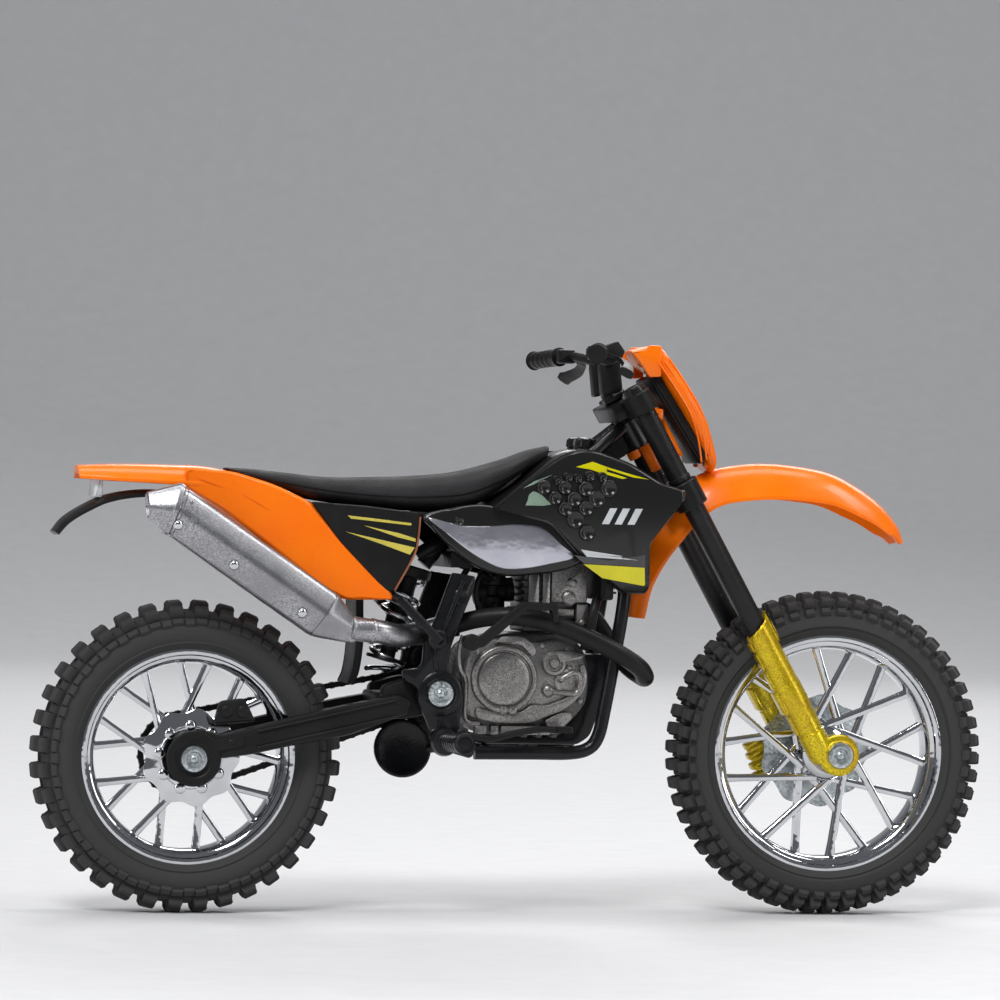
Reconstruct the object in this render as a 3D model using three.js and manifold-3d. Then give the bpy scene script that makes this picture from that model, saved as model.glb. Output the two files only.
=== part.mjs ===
// Toy enduro motorcycle at 1:18, free rolling.
// Its steering, telescopic fork, swingarm and side stand all work.
// Millimetres. +X is forward, +Y is the rider's left, +Z is up.
// The origin is on the ground, under the middle of the machine.
// Chassis, swingarm and stand are drawn where they stand.
// Wheels are drawn about their axles, and everything that steers is drawn about the steering axis.
import * as THREE from "three";
import { mergeVertices } from "three/addons/utils/BufferGeometryUtils.js";
import Module from "manifold-3d";

const wasm = await Module();
wasm.setup();

// ---------- Driving dimensions ----------
const GAP = 0.1; // air between two pieces that touch on the real toy

const CENTRE_SHIFT = 0.775; // moves the finished machine so its middle is over the origin
const REAR_AXLE = [-42.4, 19.25]; // x, z
const FRONT_AXLE = [39.6, 20.5];
const REAR_TYRE = { outer: 19.25, bead: 13.1, half: 4.0 };
const FRONT_TYRE = { outer: 20.5, bead: 14.8, half: 3.6 };
const REAR_LACING = { splay: 8.9, cross: 6.7 }; // half angle at the rim, and radius of the crossing
const FRONT_LACING = { splay: 10.4, cross: 7.7 };
const SPOKE_PAIRS = 9;
const SPOKE_ROOT = 2.0; // how far out from the axle the spokes start, inside the hub
const AXLE_R = 0.9;
const AXLE_BORE_R = 1.05;
const RIVET_HEAD_R = 1.7;

const PIVOT = [-11.9, 27.6]; // swingarm pivot, x, z
const PIVOT_R = 1.0;
const PIVOT_BORE_R = 1.12;
const ARM_Y = [5.45, 6.95]; // inner and outer face of each swingarm arm
const PLATE_Y = [5.9, 7.4]; // inner and outer face of each pivot plate

const RAKE = THREE.MathUtils.degToRad(29.5);
const STEER_POINT = [19.59, 49.46]; // a point on the steering axis, x, z
const STEM_R = 1.0;
const STEM_BORE_R = 1.14;
const FORK = { ahead: 1.5, y: 6.0, tubeR: 1.35, boreR: 1.5, sliderR: 1.8 };
// heights along the steering axis, measured from STEER_POINT
const FORK_TOP = 18.4;
const UPPER_CLAMP = [14.8, 17.4];
const HEAD_TUBE = [10.7, 14.6];
const COLLAR = [4.95, 10.5];
const LOWER_CLAMP = [1.4, 4.8];
const TUBE_END = -18.7;
const SLIDER_TOP = -14.2;
const SLIDER_BORE_END = -22.4;

const TANK_Y = 6.3; // half widths
const SHROUD_Y = [7.5, 9.2];
const SHROUD_FLARE = 0.075; // mm outwards for each mm forwards
const SEAT_Y = 4.7;
const PANEL_Y = [6.3, 7.1];
const COVER_Y = [6.6, 8.0];
const GRIP_Y = 17.6;
const ENGINE_Y = 5.5;
const CRADLE_Y = 6.0;
const CRADLE_R = 0.85;

// ---------- Materials ----------
const paint = (color, roughness, metalness) =>
  new THREE.MeshStandardMaterial({ color, roughness, metalness });
const MATERIAL = {
  tyre: paint(0x1b1b1b, 0.85, 0),
  chrome: paint(0xd8dadd, 0.12, 1),
  zinc: paint(0xb9c0c4, 0.3, 1),
  frame: paint(0x1f2024, 0.38, 0),
  satin: paint(0x2a2a2c, 0.6, 0),
  engine: paint(0x6f6d6a, 0.45, 0.7),
  silver: paint(0xa7a6a8, 0.35, 0.8),
  gloss: paint(0x070707, 0.08, 0),
  seat: paint(0x26262a, 0.75, 0),
  orange: paint(0xff6a00, 0.3, 0),
  gold: paint(0xcdb10d, 0.35, 0.5),
  lamp: paint(0xdfe2e4, 0.25, 0),
};

// ---------- Shape helpers: each gives a closed manifold-3d solid ----------
function solid(geometry) {
  const bare = geometry.clone();
  bare.deleteAttribute("normal");
  bare.deleteAttribute("uv");
  const merged = mergeVertices(bare, 1e-4);
  const build = (triVerts) =>
    new wasm.Manifold(
      new wasm.Mesh({
        numProp: 3,
        vertProperties: merged.attributes.position.array,
        triVerts,
      }),
    );
  const triVerts = new Uint32Array(merged.index.array);
  const made = build(triVerts);
  return made.volume() < 0 ? build(triVerts.reverse()) : made;
}

function geometryOf(body) {
  const mesh = body.getMesh();
  const geometry = new THREE.BufferGeometry();
  geometry.setAttribute("position", new THREE.BufferAttribute(mesh.vertProperties, 3));
  geometry.setIndex(new THREE.BufferAttribute(mesh.triVerts, 1));
  geometry.computeVertexNormals();
  return geometry;
}

const join = (...bodies) => bodies.reduce((sum, body) => sum.add(body));

function box(x0, x1, y0, y1, z0, z1) {
  const geometry = new THREE.BoxGeometry(x1 - x0, y1 - y0, z1 - z0);
  geometry.translate((x0 + x1) / 2, (y0 + y1) / 2, (z0 + z1) / 2);
  return solid(geometry);
}

// A cylinder or cone between two points.
function rod(from, to, radius, sides = 14, endRadius = radius) {
  const a = new THREE.Vector3(...from);
  const b = new THREE.Vector3(...to);
  const along = b.clone().sub(a);
  const geometry = new THREE.CylinderGeometry(endRadius, radius, along.length(), sides);
  const up = new THREE.Vector3(0, 1, 0);
  geometry.applyQuaternion(new THREE.Quaternion().setFromUnitVectors(up, along.clone().normalize()));
  geometry.translate((a.x + b.x) / 2, (a.y + b.y) / 2, (a.z + b.z) / 2);
  return solid(geometry);
}

// A cylinder across the machine, at x and z, from y0 to y1.
const crossRod = (x, z, y0, y1, radius, sides = 20) => rod([x, y0, z], [x, y1, z], radius, sides);

// A side-view outline of [x, z, corner radius] points as a shape, with each radiused corner a curve.
function outlineShape(points) {
  const shape = new THREE.Shape();
  points.forEach(([x, z, radius = 0], i) => {
    const here = new THREE.Vector2(x, z);
    const [px, pz] = points[(i + points.length - 1) % points.length];
    const [nx, nz] = points[(i + 1) % points.length];
    const before = new THREE.Vector2(px, pz).sub(here);
    const after = new THREE.Vector2(nx, nz).sub(here);
    const enter = here.clone().add(before.setLength(Math.min(radius, before.length() / 2)));
    const leave = here.clone().add(after.setLength(Math.min(radius, after.length() / 2)));
    if (i === 0) shape.moveTo(enter.x, enter.y);
    else shape.lineTo(enter.x, enter.y);
    if (radius > 0) shape.quadraticCurveTo(x, z, leave.x, leave.y);
  });
  return shape;
}

// A plate with a side-view outline, from y0 to y1.
function plate(points, y0, y1) {
  const options = { depth: y1 - y0, bevelEnabled: false, curveSegments: 3 };
  const geometry = new THREE.ExtrudeGeometry(outlineShape(points), options);
  geometry.rotateX(Math.PI / 2);
  geometry.translate(0, y1, 0);
  return solid(geometry);
}

// The same plate on the other side of the machine.
const mirrored = (body) => body.mirror([0, 1, 0]);

// A ring or disc about the Y axis, from a closed profile of [radius, y] points.
function turned(profile, segments = 36) {
  const closed = [...profile, profile[0]].map(([r, y]) => new THREE.Vector2(r, y));
  return solid(new THREE.LatheGeometry(closed, segments));
}

// A round bar along a smooth curve through the points.
function bar(points, radius, steps = 16, sides = 8) {
  const path = new THREE.CatmullRomCurve3(points.map((p) => new THREE.Vector3(...p)));
  const section = new THREE.Shape().absarc(0, 0, radius, 0, Math.PI * 2);
  const options = { steps, bevelEnabled: false, extrudePath: path, curveSegments: sides / 2 };
  return solid(new THREE.ExtrudeGeometry(section, options));
}

function add(group, name, body, material) {
  const mesh = new THREE.Mesh(geometryOf(body), material);
  mesh.name = name;
  group.add(mesh);
}

// ---------- Wheels, drawn about the axle ----------
// Tyre: a ring with an open channel for the rim, its crown flat where the tread blocks are.
function tyre({ outer, bead, half }) {
  return turned([
    [bead, -half * 0.62],
    [bead + 1.5, -half * 0.82],
    [outer - 2.6, -half],
    [outer - 0.9, -half * 0.86],
    [outer, -half * 0.5],
    [outer, half * 0.5],
    [outer - 0.9, half * 0.86],
    [outer - 2.6, half],
    [bead + 1.5, half * 0.82],
    [bead, half * 0.62],
  ]);
}

// Rim, hub and laced spokes in one casting.
// The two spokes of a pair land on the rim either side of the pair's own line and cross on it.
function rim({ bead, half }, { splay, cross }, hubHalf) {
  const rimOuter = bead - GAP;
  const hoop = turned([
    [rimOuter - 1.5, -half * 0.62],
    [rimOuter, -half * 0.62],
    [rimOuter, half * 0.62],
    [rimOuter - 1.5, half * 0.62],
  ]);
  const hub = turned([
    [0.6, -hubHalf],
    [2.3, -hubHalf],
    [2.3, -hubHalf * 0.8],
    [3.2, -hubHalf * 0.55],
    [3.2, hubHalf * 0.55],
    [2.3, hubHalf * 0.8],
    [2.3, hubHalf],
    [0.6, hubHalf],
  ], 20);
  const bore = crossRod(0, 0, -hubHalf - 1, hubHalf + 1, AXLE_BORE_R);
  const landing = rimOuter - 0.9;
  const across = landing * Math.sin(THREE.MathUtils.degToRad(splay));
  const slope = across / (landing * Math.cos(THREE.MathUtils.degToRad(splay)) - cross);
  const spokes = [];
  for (let i = 0; i < SPOKE_PAIRS; i++) {
    const middle = (i * 2 * Math.PI) / SPOKE_PAIRS;
    const at = (along, aside, y) => [
      along * Math.cos(middle) - aside * Math.sin(middle),
      y,
      along * Math.sin(middle) + aside * Math.cos(middle),
    ];
    for (const side of [-1, 1]) {
      const y = side * 0.35;
      const root = at(SPOKE_ROOT, -side * slope * (cross - SPOKE_ROOT), y);
      const tip = at(landing * Math.cos(THREE.MathUtils.degToRad(splay)), side * across, y);
      spokes.push(rod(root, tip, 0.45, 4));
    }
  }
  return join(hoop, hub, ...spokes).subtract(bore);
}

// A thin disc round the hub, with a scalloped edge.
function brakeDisc(outer, y0, y1, lobes) {
  const shape = new THREE.Shape();
  const points = 6 * lobes;
  for (let i = 0; i < points; i++) {
    const angle = (i * 2 * Math.PI) / points;
    const r = outer - 0.45 * (1 - Math.cos(lobes * angle)) * 0.5;
    if (i === 0) shape.moveTo(r, 0);
    else shape.lineTo(r * Math.cos(angle), r * Math.sin(angle));
  }
  const geometry = new THREE.ExtrudeGeometry(shape, { depth: y1 - y0, bevelEnabled: false });
  geometry.rotateX(Math.PI / 2);
  geometry.translate(0, y1, 0);
  return solid(geometry).subtract(crossRod(0, 0, y0 - 1, y1 + 1, 2.45, 20));
}

// An axle riveted over at both ends, with a head outside each arm.
function rivet(x, z, radius, inside, outside) {
  return join(
    crossRod(x, z, -inside, inside, radius),
    crossRod(x, z, inside, outside, RIVET_HEAD_R),
    crossRod(x, z, -outside, -inside, RIVET_HEAD_R),
  );
}

// ---------- Chassis ----------
const chassis = new THREE.Group();

function mainFrame() {
  const [hx, hz] = onSteeringAxis((HEAD_TUBE[0] + HEAD_TUBE[1]) / 2);
  const [tx, tz] = onSteeringAxis(HEAD_TUBE[1]);
  const [bx, bz] = onSteeringAxis(HEAD_TUBE[0]);
  const spine = plate(
    [
      [hx, hz + 0.9],
      [hx - 3.4, hz + 0.2, 1],
      [7.6, 54.6, 1],
      [-6, 50.0],
      [-9.6, 45.4],
      [-9.6, 43.2],
      [-6.2, 43.2],
      [5.2, 49.6],
      [8.8, 50.6],
      [11.4, 56.2, 1],
      [hx, hz - 1.2],
    ],
    -1.8,
    1.8,
  );
  const crossbar = box(-10.6, -7.2, -PLATE_Y[0] + GAP, PLATE_Y[0] - GAP, 43.2, 45.2);
  const head = rod([bx, 0, bz], [tx, 0, tz], 2.1, 18);
  const [ax, az] = onSteeringAxis(HEAD_TUBE[0] - 2);
  const [cx, cz] = onSteeringAxis(HEAD_TUBE[1] + 2);
  const above = rod([tx, 0, tz], [cx, 0, cz], 4, 12);
  const below = rod([ax, 0, az], [bx, 0, bz], 4, 12);
  const bore = rod([ax, 0, az], [cx, 0, cz], STEM_BORE_R, 18);
  return join(spine, crossbar, head).subtract(bore).subtract(above).subtract(below);
}

function onSteeringAxis(height) {
  return [STEER_POINT[0] - height * Math.sin(RAKE), STEER_POINT[1] + height * Math.cos(RAKE)];
}

// The right side plate that holds the swingarm rivet, the footpeg and the subframe strut.
function pivotPlate() {
  const [px, pz] = PIVOT;
  const body = plate(
    [
      [-10.6, 42.8],
      [-7.8, 42.4],
      [-9.9, 35.6],
      [-10.8, 33.3],
      [-11.0, 30.6, 0.8],
      [px + 2.9, pz + 1.6, 1.4],
      [px + 3.1, pz - 0.9, 1.4],
      [-9.3, 23.6],
      [-7.4, 21.4, 0.8],
      [-7.9, 19.5, 0.8],
      [-12.3, 20.4, 0.8],
      [-14.1, 24.9],
      [-14.8, 27.0],
      [-14.8, 28.9],
      [-17.6, 29.1, 0.3],
      [-17.6, 30.6, 0.3],
      [-14.2, 30.9],
      [-14.0, 34.0],
      [-12.9, 36.1],
    ],
    -PLATE_Y[1],
    -PLATE_Y[0],
  );
  const recess = crossRod(px, pz, -PLATE_Y[1] - 1, -PLATE_Y[1] + 0.5, 2.1, 24);
  const hole = crossRod(px, pz, -PLATE_Y[1] - 1, -PLATE_Y[0] + 1, PIVOT_R + GAP, 20);
  return body.subtract(recess).subtract(hole);
}

// One side of the cradle: under the engine, round the front corner and up towards the head tube.
function cradle(side) {
  const y = side * CRADLE_Y;
  return bar(
    [
      [-7.2, y, 20.3],
      [0, y, 20.35],
      [5.6, y, 20.4],
      [8.0, y, 21.2],
      [9.0, y, 23.4],
      [10.2, y, 31.0],
      [11.4, y, 38.6],
      [11.6, side * 5.2, 41.6],
      [10.9, side * 3.2, 47.0],
      [10.2, side * 2.8, 49.6],
    ],
    CRADLE_R,
    26,
    8,
  );
}

function crankcase() {
  const body = plate(
    [
      [-8.9, 24.6, 1.2],
      [-8.0, 22.6, 1],
      [1.0, 22.6],
      [1.6, 24.0],
      [4.2, 22.9, 0.6],
      [5.6, 25.4, 1],
      [7.0, 28.6, 1.5],
      [6.9, 33.0, 1.5],
      [4.4, 35.4],
      [-5.2, 35.4, 1.5],
      [-8.6, 33.2, 1],
    ],
    -ENGINE_Y,
    ENGINE_Y,
  );
  const pump = crossRod(2.5, 31.6, -ENGINE_Y - 0.9, -ENGINE_Y, 1.6, 16);
  const oilFilter = crossRod(2.0, 28.1, -ENGINE_Y - 1.2, -ENGINE_Y, 0.85, 12);
  const ignition = crossRod(1.0, 29.4, ENGINE_Y, ENGINE_Y + 1.3, 4.0, 24);
  const lobe = plate(
    [
      [-7.6, 25.2, 0.8],
      [-3.6, 23.8, 1],
      [2.6, 24.6, 1],
      [5.6, 28.2, 0.8],
      [4.2, 29.0, 0.6],
      [1.4, 26.6, 1],
      [-2.2, 25.6],
      [-6.6, 26.4, 0.8],
    ],
    -ENGINE_Y - 0.8,
    -ENGINE_Y,
  );
  const standLug = box(0.5, 2.9, 2.9, 4.9, 22.2, 25);
  const coverRoom = crossRod(-3.7, 29.7, -ENGINE_Y - 3, -ENGINE_Y, 4.15 + GAP, 28);
  return join(body, pump, oilFilter, ignition, lobe, standLug).subtract(coverRoom);
}

function cylinder() {
  const base = 35.4 + GAP;
  const barrel = box(-1.4, 6.4, -3.9, 3.9, base, 44.2);
  const fins = [0, 1, 2].map((i) => box(-2.0, 6.8, -4.4, 4.4, 40.4 + i * 1.3, 41.0 + i * 1.3));
  const plugBoss = crossRod(3.9, 38.9, -4.7, -3.9, 1.0, 14);
  return join(barrel, ...fins, plugBoss);
}

function clutchCover() {
  return turned([
    [0.0001, -ENGINE_Y - 1.55],
    [3.2, -ENGINE_Y - 1.55],
    [3.3, -ENGINE_Y - 1.25],
    [3.65, -ENGINE_Y - 1.25],
    [3.8, -ENGINE_Y - 1.6],
    [4.15, -ENGINE_Y - 1.35],
    [4.15, -ENGINE_Y - GAP],
    [0.0001, -ENGINE_Y - GAP],
  ], 28).translate([-3.7, 0, 29.7]);
}

function header() {
  return bar(
    [
      [6.9, 0, 38.4],
      [9.6, -0.4, 37.4],
      [13.2, -1.4, 34.4],
      [15.1, -3.2, 32.0],
      [15.5, -5.6, 30.6],
      [14.4, -7.8, 30.9],
      [11.6, -8.4, 32.3],
      [7.4, -8.4, 34.4],
      [2.4, -7.9, 36.4],
      [-2.4, -7.0, 37.3],
      [-6.4, -5.6, 37.0],
      [-10.6, -4.0, 35.9],
    ],
    1.15,
    30,
    8,
  );
}

function midPipe() {
  const bend = bar(
    [
      [-11.2, -3.9, 35.7],
      [-14.0, -4.2, 35.0],
      [-17.4, -6.7, 34.7],
      [-20.6, -8.3, 35.4],
    ],
    1.45,
    12,
    10,
  );
  const collar = rod([-20.0, -8.2, 35.2], [-23.0, -8.4, 35.5], 1.7, 16);
  return bend.add(collar);
}

// Muffler can: a rounded six-sided section swept along the can's axis, then a cone to the collar.
const CAN_REAR = [-45.6, -8.4, 49.5];
const CAN_FRONT = [-27.5, -8.4, 37.4];
const CAN_HALF = [3.15, 2.9]; // across the axis in side view, and in y

function alongCan(length, sectionAt, stations) {
  const a = new THREE.Vector3(...CAN_REAR);
  const axis = new THREE.Vector3(...CAN_FRONT).sub(a).normalize();
  const across = new THREE.Vector3(-axis.z, 0, axis.x);
  const side = new THREE.Vector3(0, 1, 0);
  const count = 12;
  const rings = stations.map((s) => {
    const [h, w, shift] = sectionAt(s);
    return Array.from({ length: count }, (_, i) => {
      const t = ((i + 0.5) * 2 * Math.PI) / count;
      const squared = 1 / Math.pow(Math.abs(Math.cos(t)) ** 3 + Math.abs(Math.sin(t)) ** 3, 1 / 3);
      return a
        .clone()
        .addScaledVector(axis, s * length)
        .addScaledVector(across, h * squared * Math.sin(t) + shift)
        .addScaledVector(side, w * squared * Math.cos(t));
    });
  });
  return lofted(rings);
}

// A closed solid through rings with the same number of points.
function lofted(rings) {
  const n = rings[0].length;
  const centre = (ring) =>
    ring.reduce((sum, p) => sum.add(p), new THREE.Vector3()).divideScalar(n);
  const points = [...rings.flat(), centre(rings[0]), centre(rings.at(-1))];
  const index = [];
  for (let r = 0; r < rings.length - 1; r++)
    for (let i = 0; i < n; i++) {
      const j = (i + 1) % n;
      const [a, b, c, d] = [r * n + i, r * n + j, (r + 1) * n + i, (r + 1) * n + j];
      index.push(a, b, c, b, d, c);
    }
  const last = (rings.length - 1) * n;
  const [first, second] = [rings.length * n, rings.length * n + 1];
  for (let i = 0; i < n; i++) {
    const j = (i + 1) % n;
    index.push(first, j, i, second, last + i, last + j);
  }
  const geometry = new THREE.BufferGeometry().setFromPoints(points);
  geometry.setIndex(index);
  return solid(geometry);
}

const CAN_LENGTH = new THREE.Vector3(...CAN_FRONT).distanceTo(new THREE.Vector3(...CAN_REAR));

function muffler() {
  const [h, w] = CAN_HALF;
  const coneLength = 4.6;
  const end = 1 + coneLength / CAN_LENGTH;
  return alongCan(
    CAN_LENGTH,
    (s) => (s <= 1 ? [h, w, 0] : [1.75, 1.7, -0.4]),
    [0, 1, end],
  ).subtract(rod([-19.9, -8.2, 35.2], [-23.2, -8.41, 35.52], 1.85, 16));
}

function mufflerEndCap() {
  const [h, w] = CAN_HALF;
  const from = -4.6 / CAN_LENGTH;
  const to = -GAP / CAN_LENGTH;
  return alongCan(CAN_LENGTH, (s) => (s === from ? [h * 0.62, w * 0.7, -0.5] : [h, w, 0]), [from, to]);
}

function fuelTank() {
  const body = plate(
    [
      [-6.8, 51.9],
      [2.4, 57.6, 1],
      [5.2, 58.6, 1],
      [9.0, 58.4, 1],
      [11.2, 56.6, 1],
      [10.4, 51.4],
      [6.6, 46.6],
      [-2.0, 46.4],
      [-6.4, 48.6],
    ],
    -TANK_Y,
    TANK_Y,
  );
  const [bx, bz] = onSteeringAxis(COLLAR[0] - 1);
  const [tx, tz] = onSteeringAxis(HEAD_TUBE[1] + 3);
  const steeringRoom = rod([bx, 0, bz], [tx, 0, tz], 4.2, 18);
  const spineRoom = plate(
    [
      [-12, 52.6],
      [-6.2, 50.3],
      [6.9, 54.6],
      [9.3, 60.8],
      [16, 60.8],
      [12, 50],
      [8.8, 50.3],
      [5.2, 49.3],
      [-6, 43],
      [-12, 43],
    ],
    -2.1,
    2.1,
  );
  return body.subtract(steeringRoom).subtract(spineRoom);
}

// The right shroud: the tank's side, flared outwards from the seat to the tip beside the fork.
function shroud() {
  const outline = [
    [-7.0, 51.7],
    [2.3, 57.3, 0.8],
    [6.4, 58.3, 1],
    [9.4, 57.7],
    [17.6, 53.4, 0.4],
    [17.3, 52.2, 0.4],
    [13.5, 46.7, 0.6],
    [13.8, 45.2],
    [13.9, 41.2, 0.4],
    [13.2, 40.4, 0.4],
    [10.7, 40.3, 1],
    [5.6, 44.2],
    [1.0, 48.9, 0.6],
    [-2.6, 49.2],
  ];
  return plate(outline, -SHROUD_Y[1], -SHROUD_Y[0]).add(
    plate(
      [
        [0.5, 50.6],
        [3.0, 56.2],
        [8.4, 56.2],
        [10.0, 54.6],
        [8.4, 50.6],
      ],
      -SHROUD_Y[0] - 1.6,
      -TANK_Y - GAP,
    ),
  );
}

function flaredShroud() {
  return shroud().warp((v) => {
    if (v[1] < -SHROUD_Y[0] + 0.01) v[1] -= SHROUD_FLARE * (v[0] + 7);
  });
}

function radiator() {
  return box(7.4, 9.6, -6.6, 6.6, 39.4, 46.2).subtract(box(7, 10, -1.9, 1.9, 45.6, 47));
}

function seat() {
  return plate(
    [
      [-38.8, 55.0],
      [-32.2, 54.8],
      [-27.5, 54.3],
      [-20.5, 54.2, 3],
      [-15.0, 54.3, 3],
      [-8.8, 55.2, 3],
      [-3.0, 56.9],
      [1.6, 58.9, 0.6],
      [2.3, 57.9],
      [-7.1, 52.2],
      [-9.1, 50.4, 0.8],
      [-14.5, 50.3],
      [-21.3, 50.7],
      [-28.4, 51.9],
      [-32.6, 53.2],
      [-38.0, 54.7],
    ],
    -SEAT_Y,
    SEAT_Y,
  ).subtract(box(-12, -5.4, -2.1, 2.1, 49, 51.1));
}

const ORANGE_PANEL = [
  [-42.6, 54.9],
  [-37.6, 54.4],
  [-32.9, 52.9],
  [-28.8, 51.1],
  [-24.8, 46.4],
  [-18.4, 39.7, 0.4],
  [-18.4, 39.1, 0.4],
  [-24.6, 39.1, 1.2],
  [-26.9, 40.6],
  [-34.3, 46.1],
  [-39.3, 49.8],
  [-42.8, 52.6],
];

// Rear fender: a flat tail with a raised middle, and a panel down each side.
function rearFender() {
  const tail = plate(
    [
      [-57.0, 53.8, 0.7],
      [-55.6, 54.9, 0.7],
      [-42.9, 55.2],
      [-39.6, 55.0],
      [-37.4, 54.4],
      [-32.9, 52.9],
      [-28.4, 51.5],
      [-21.3, 50.35],
      [-14.6, 49.9],
      [-14.6, 48.8],
      [-28.6, 49.8],
      [-34.0, 51.4],
      [-42.9, 52.4],
      [-55.2, 52.8],
    ],
    -4.6,
    4.6,
  );
  const shoulder = plate(
    [
      [-42.8, 54.8],
      [-37.6, 54.3],
      [-32.9, 52.8],
      [-29.0, 51.2],
      [-28.6, 49.8],
      [-34.0, 51.4],
      [-42.6, 52.8],
    ],
    -PANEL_Y[1],
    PANEL_Y[1],
  );
  const right = plate(ORANGE_PANEL, -PANEL_Y[1], -PANEL_Y[0]);
  return join(tail, shoulder, right, mirrored(right));
}

function numberPanel() {
  return plate(
    [
      [-28.4, 51.0],
      [-15.0, 49.4],
      [-15.5, 45.3],
      [-18.2, 40.2],
      [-24.5, 46.6],
    ],
    -PANEL_Y[1],
    -PANEL_Y[0],
  );
}

// The big side cover under the seat's nose.
function sideCover() {
  return plate(
    [
      [-14.8, 49.5],
      [-11.2, 48.9],
      [-6.9, 51.3],
      [-2.7, 49.1],
      [0.8, 48.7, 0.6],
      [5.4, 44.1],
      [1.2, 43.2, 1],
      [-4.2, 41.9, 2],
      [-8.6, 43.8, 2],
      [-12.2, 46.9],
    ],
    -COVER_Y[1],
    -COVER_Y[0],
  ).subtract(
    // room for the shroud's edge, which laps over the cover's upper edge
    plate(
      [
        [-8, 52.2],
        [-7.2, 51.4],
        [-2.8, 48.9],
        [0.8, 48.6],
        [5.4, 43.8],
        [9, 44],
        [6, 54],
      ],
      -COVER_Y[1] - 1,
      -SHROUD_Y[0] + 0.4,
    ),
  );
}

function subframe() {
  const pin = crossRod(-12.5, 34.3, -8.9, -PLATE_Y[1] - GAP, 0.95, 14);
  const path = [
    [-12.5, -8.15, 34.3],
    [-17.2, -7.9, 38.7],
    [-17.2, -5.4, 39.1],
    [-19.2, -5.0, 41.0],
  ];
  const tubes = path.slice(1).map((end, i) => rod(path[i], end, 0.65, 8));
  const right = join(pin, ...tubes);
  const across = crossRod(-19.2, 41.0, -5.0, 5.0, 0.7, 8);
  return join(right, mirrored(right), across);
}

// Black wall between the tyre and the shock, which turns back under the seat.
function innerFender() {
  return plate(
    [
      [-22.9, 28.0],
      [-22.9, 34.0, 2],
      [-24.6, 42.0, 2],
      [-29.0, 48.9],
      [-27.2, 49.2],
      [-22.9, 42.4, 2],
      [-21.7, 34.0, 2],
      [-21.7, 28.0],
    ],
    -3.6,
    3.6,
  );
}

function footpeg() {
  const boss = crossRod(-11.4, 21.7, -8.9, -PLATE_Y[1] - GAP, 1.5, 16);
  const peg = rod([-11.3, -8.7, 21.7], [-10.4, -14.9, 21.8], 1.0, 12);
  const end = rod([-10.45, -14.5, 21.8], [-10.3, -15.7, 21.8], 1.4, 14);
  return join(boss, peg, end);
}

function plateHolder() {
  return plate(
    [
      [-60.1, 46.6],
      [-58.4, 48.9],
      [-54.0, 51.5],
      [-49.8, 52.3, 1],
      [-44.6, 52.1],
      [-44.6, 51.3],
      [-49.6, 51.3, 1],
      [-53.6, 50.4],
      [-57.6, 47.8],
      [-59.6, 46.0],
    ],
    -4.2,
    4.2,
  );
}

add(chassis, "main_frame", mainFrame(), MATERIAL.frame);
const rightPlate = pivotPlate();
add(chassis, "pivot_plate_right", rightPlate, MATERIAL.frame);
add(chassis, "pivot_plate_left", mirrored(rightPlate), MATERIAL.frame);
add(chassis, "cradle_right", cradle(-1), MATERIAL.frame);
add(chassis, "cradle_left", cradle(1), MATERIAL.frame);
add(chassis, "pivot_rivet", rivet(...PIVOT, PIVOT_R, PLATE_Y[1] - 0.4, PLATE_Y[1] + 0.35), MATERIAL.zinc);
add(chassis, "crankcase", crankcase(), MATERIAL.engine);
add(chassis, "cylinder", cylinder(), MATERIAL.engine);
add(chassis, "clutch_cover", clutchCover(), MATERIAL.engine);
add(
  chassis,
  "kick_start_lever",
  plate(
    [
      [-9.0, 33.8],
      [-9.0, 35.2],
      [-7.3, 35.2],
      [-2.6, 39.6],
      [2.7, 39.0],
      [2.9, 36.9],
      [2.0, 36.9],
      [2.0, 38.0],
      [-2.2, 38.6],
      [-6.9, 33.9],
    ],
    -10.2,
    -9.4,
  ).add(crossRod(-8.2, 34.5, -10.2, -7.6, 0.6, 12)),
  MATERIAL.satin,
);
add(
  chassis,
  "carburettor",
  join(
    crossRod(-4.8, 39.4, -3.2, 3.2, 2.0, 16),
    box(-7.6, -2.2, -2.0, 2.0, 37.6, 42.0),
    crossRod(-3.5, 42.2, -3.0, 3.0, 1.2, 14),
    rod([-3, 0, 38.8], [-1.4 - GAP, 0, 38.8], 1.1, 14),
  ),
  MATERIAL.satin,
);
add(chassis, "exhaust_header", header(), MATERIAL.satin);
add(chassis, "exhaust_mid_pipe", midPipe(), MATERIAL.silver);
add(chassis, "muffler", muffler(), MATERIAL.silver);
add(chassis, "muffler_end_cap", mufflerEndCap(), MATERIAL.silver);
add(chassis, "fuel_tank", fuelTank(), MATERIAL.gloss);
const rightShroud = flaredShroud();
add(chassis, "shroud_right", rightShroud, MATERIAL.gloss);
add(chassis, "shroud_left", mirrored(rightShroud), MATERIAL.gloss);
add(chassis, "fuel_cap", rod([6.2, 0, 58.6 + GAP], [6.3, 0, 59.7], 1.9, 18, 1.7), MATERIAL.gloss);
add(chassis, "radiator", radiator(), MATERIAL.satin);
add(chassis, "seat", seat(), MATERIAL.seat);
add(chassis, "rear_fender", rearFender(), MATERIAL.orange);
const rightPanel = numberPanel();
add(chassis, "number_panel_right", rightPanel, MATERIAL.satin);
add(chassis, "number_panel_left", mirrored(rightPanel), MATERIAL.satin);
const rightCover = sideCover();
add(chassis, "side_cover_right", rightCover, MATERIAL.silver);
add(chassis, "side_cover_left", mirrored(rightCover), MATERIAL.silver);
add(chassis, "tail_light", box(-55.4, -53.8, -2.6, 2.6, 51.6, 52.7), MATERIAL.lamp);
add(chassis, "plate_holder", plateHolder(), MATERIAL.satin);
add(chassis, "subframe", subframe(), MATERIAL.frame);
add(chassis, "inner_fender", innerFender(), MATERIAL.satin);
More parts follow.
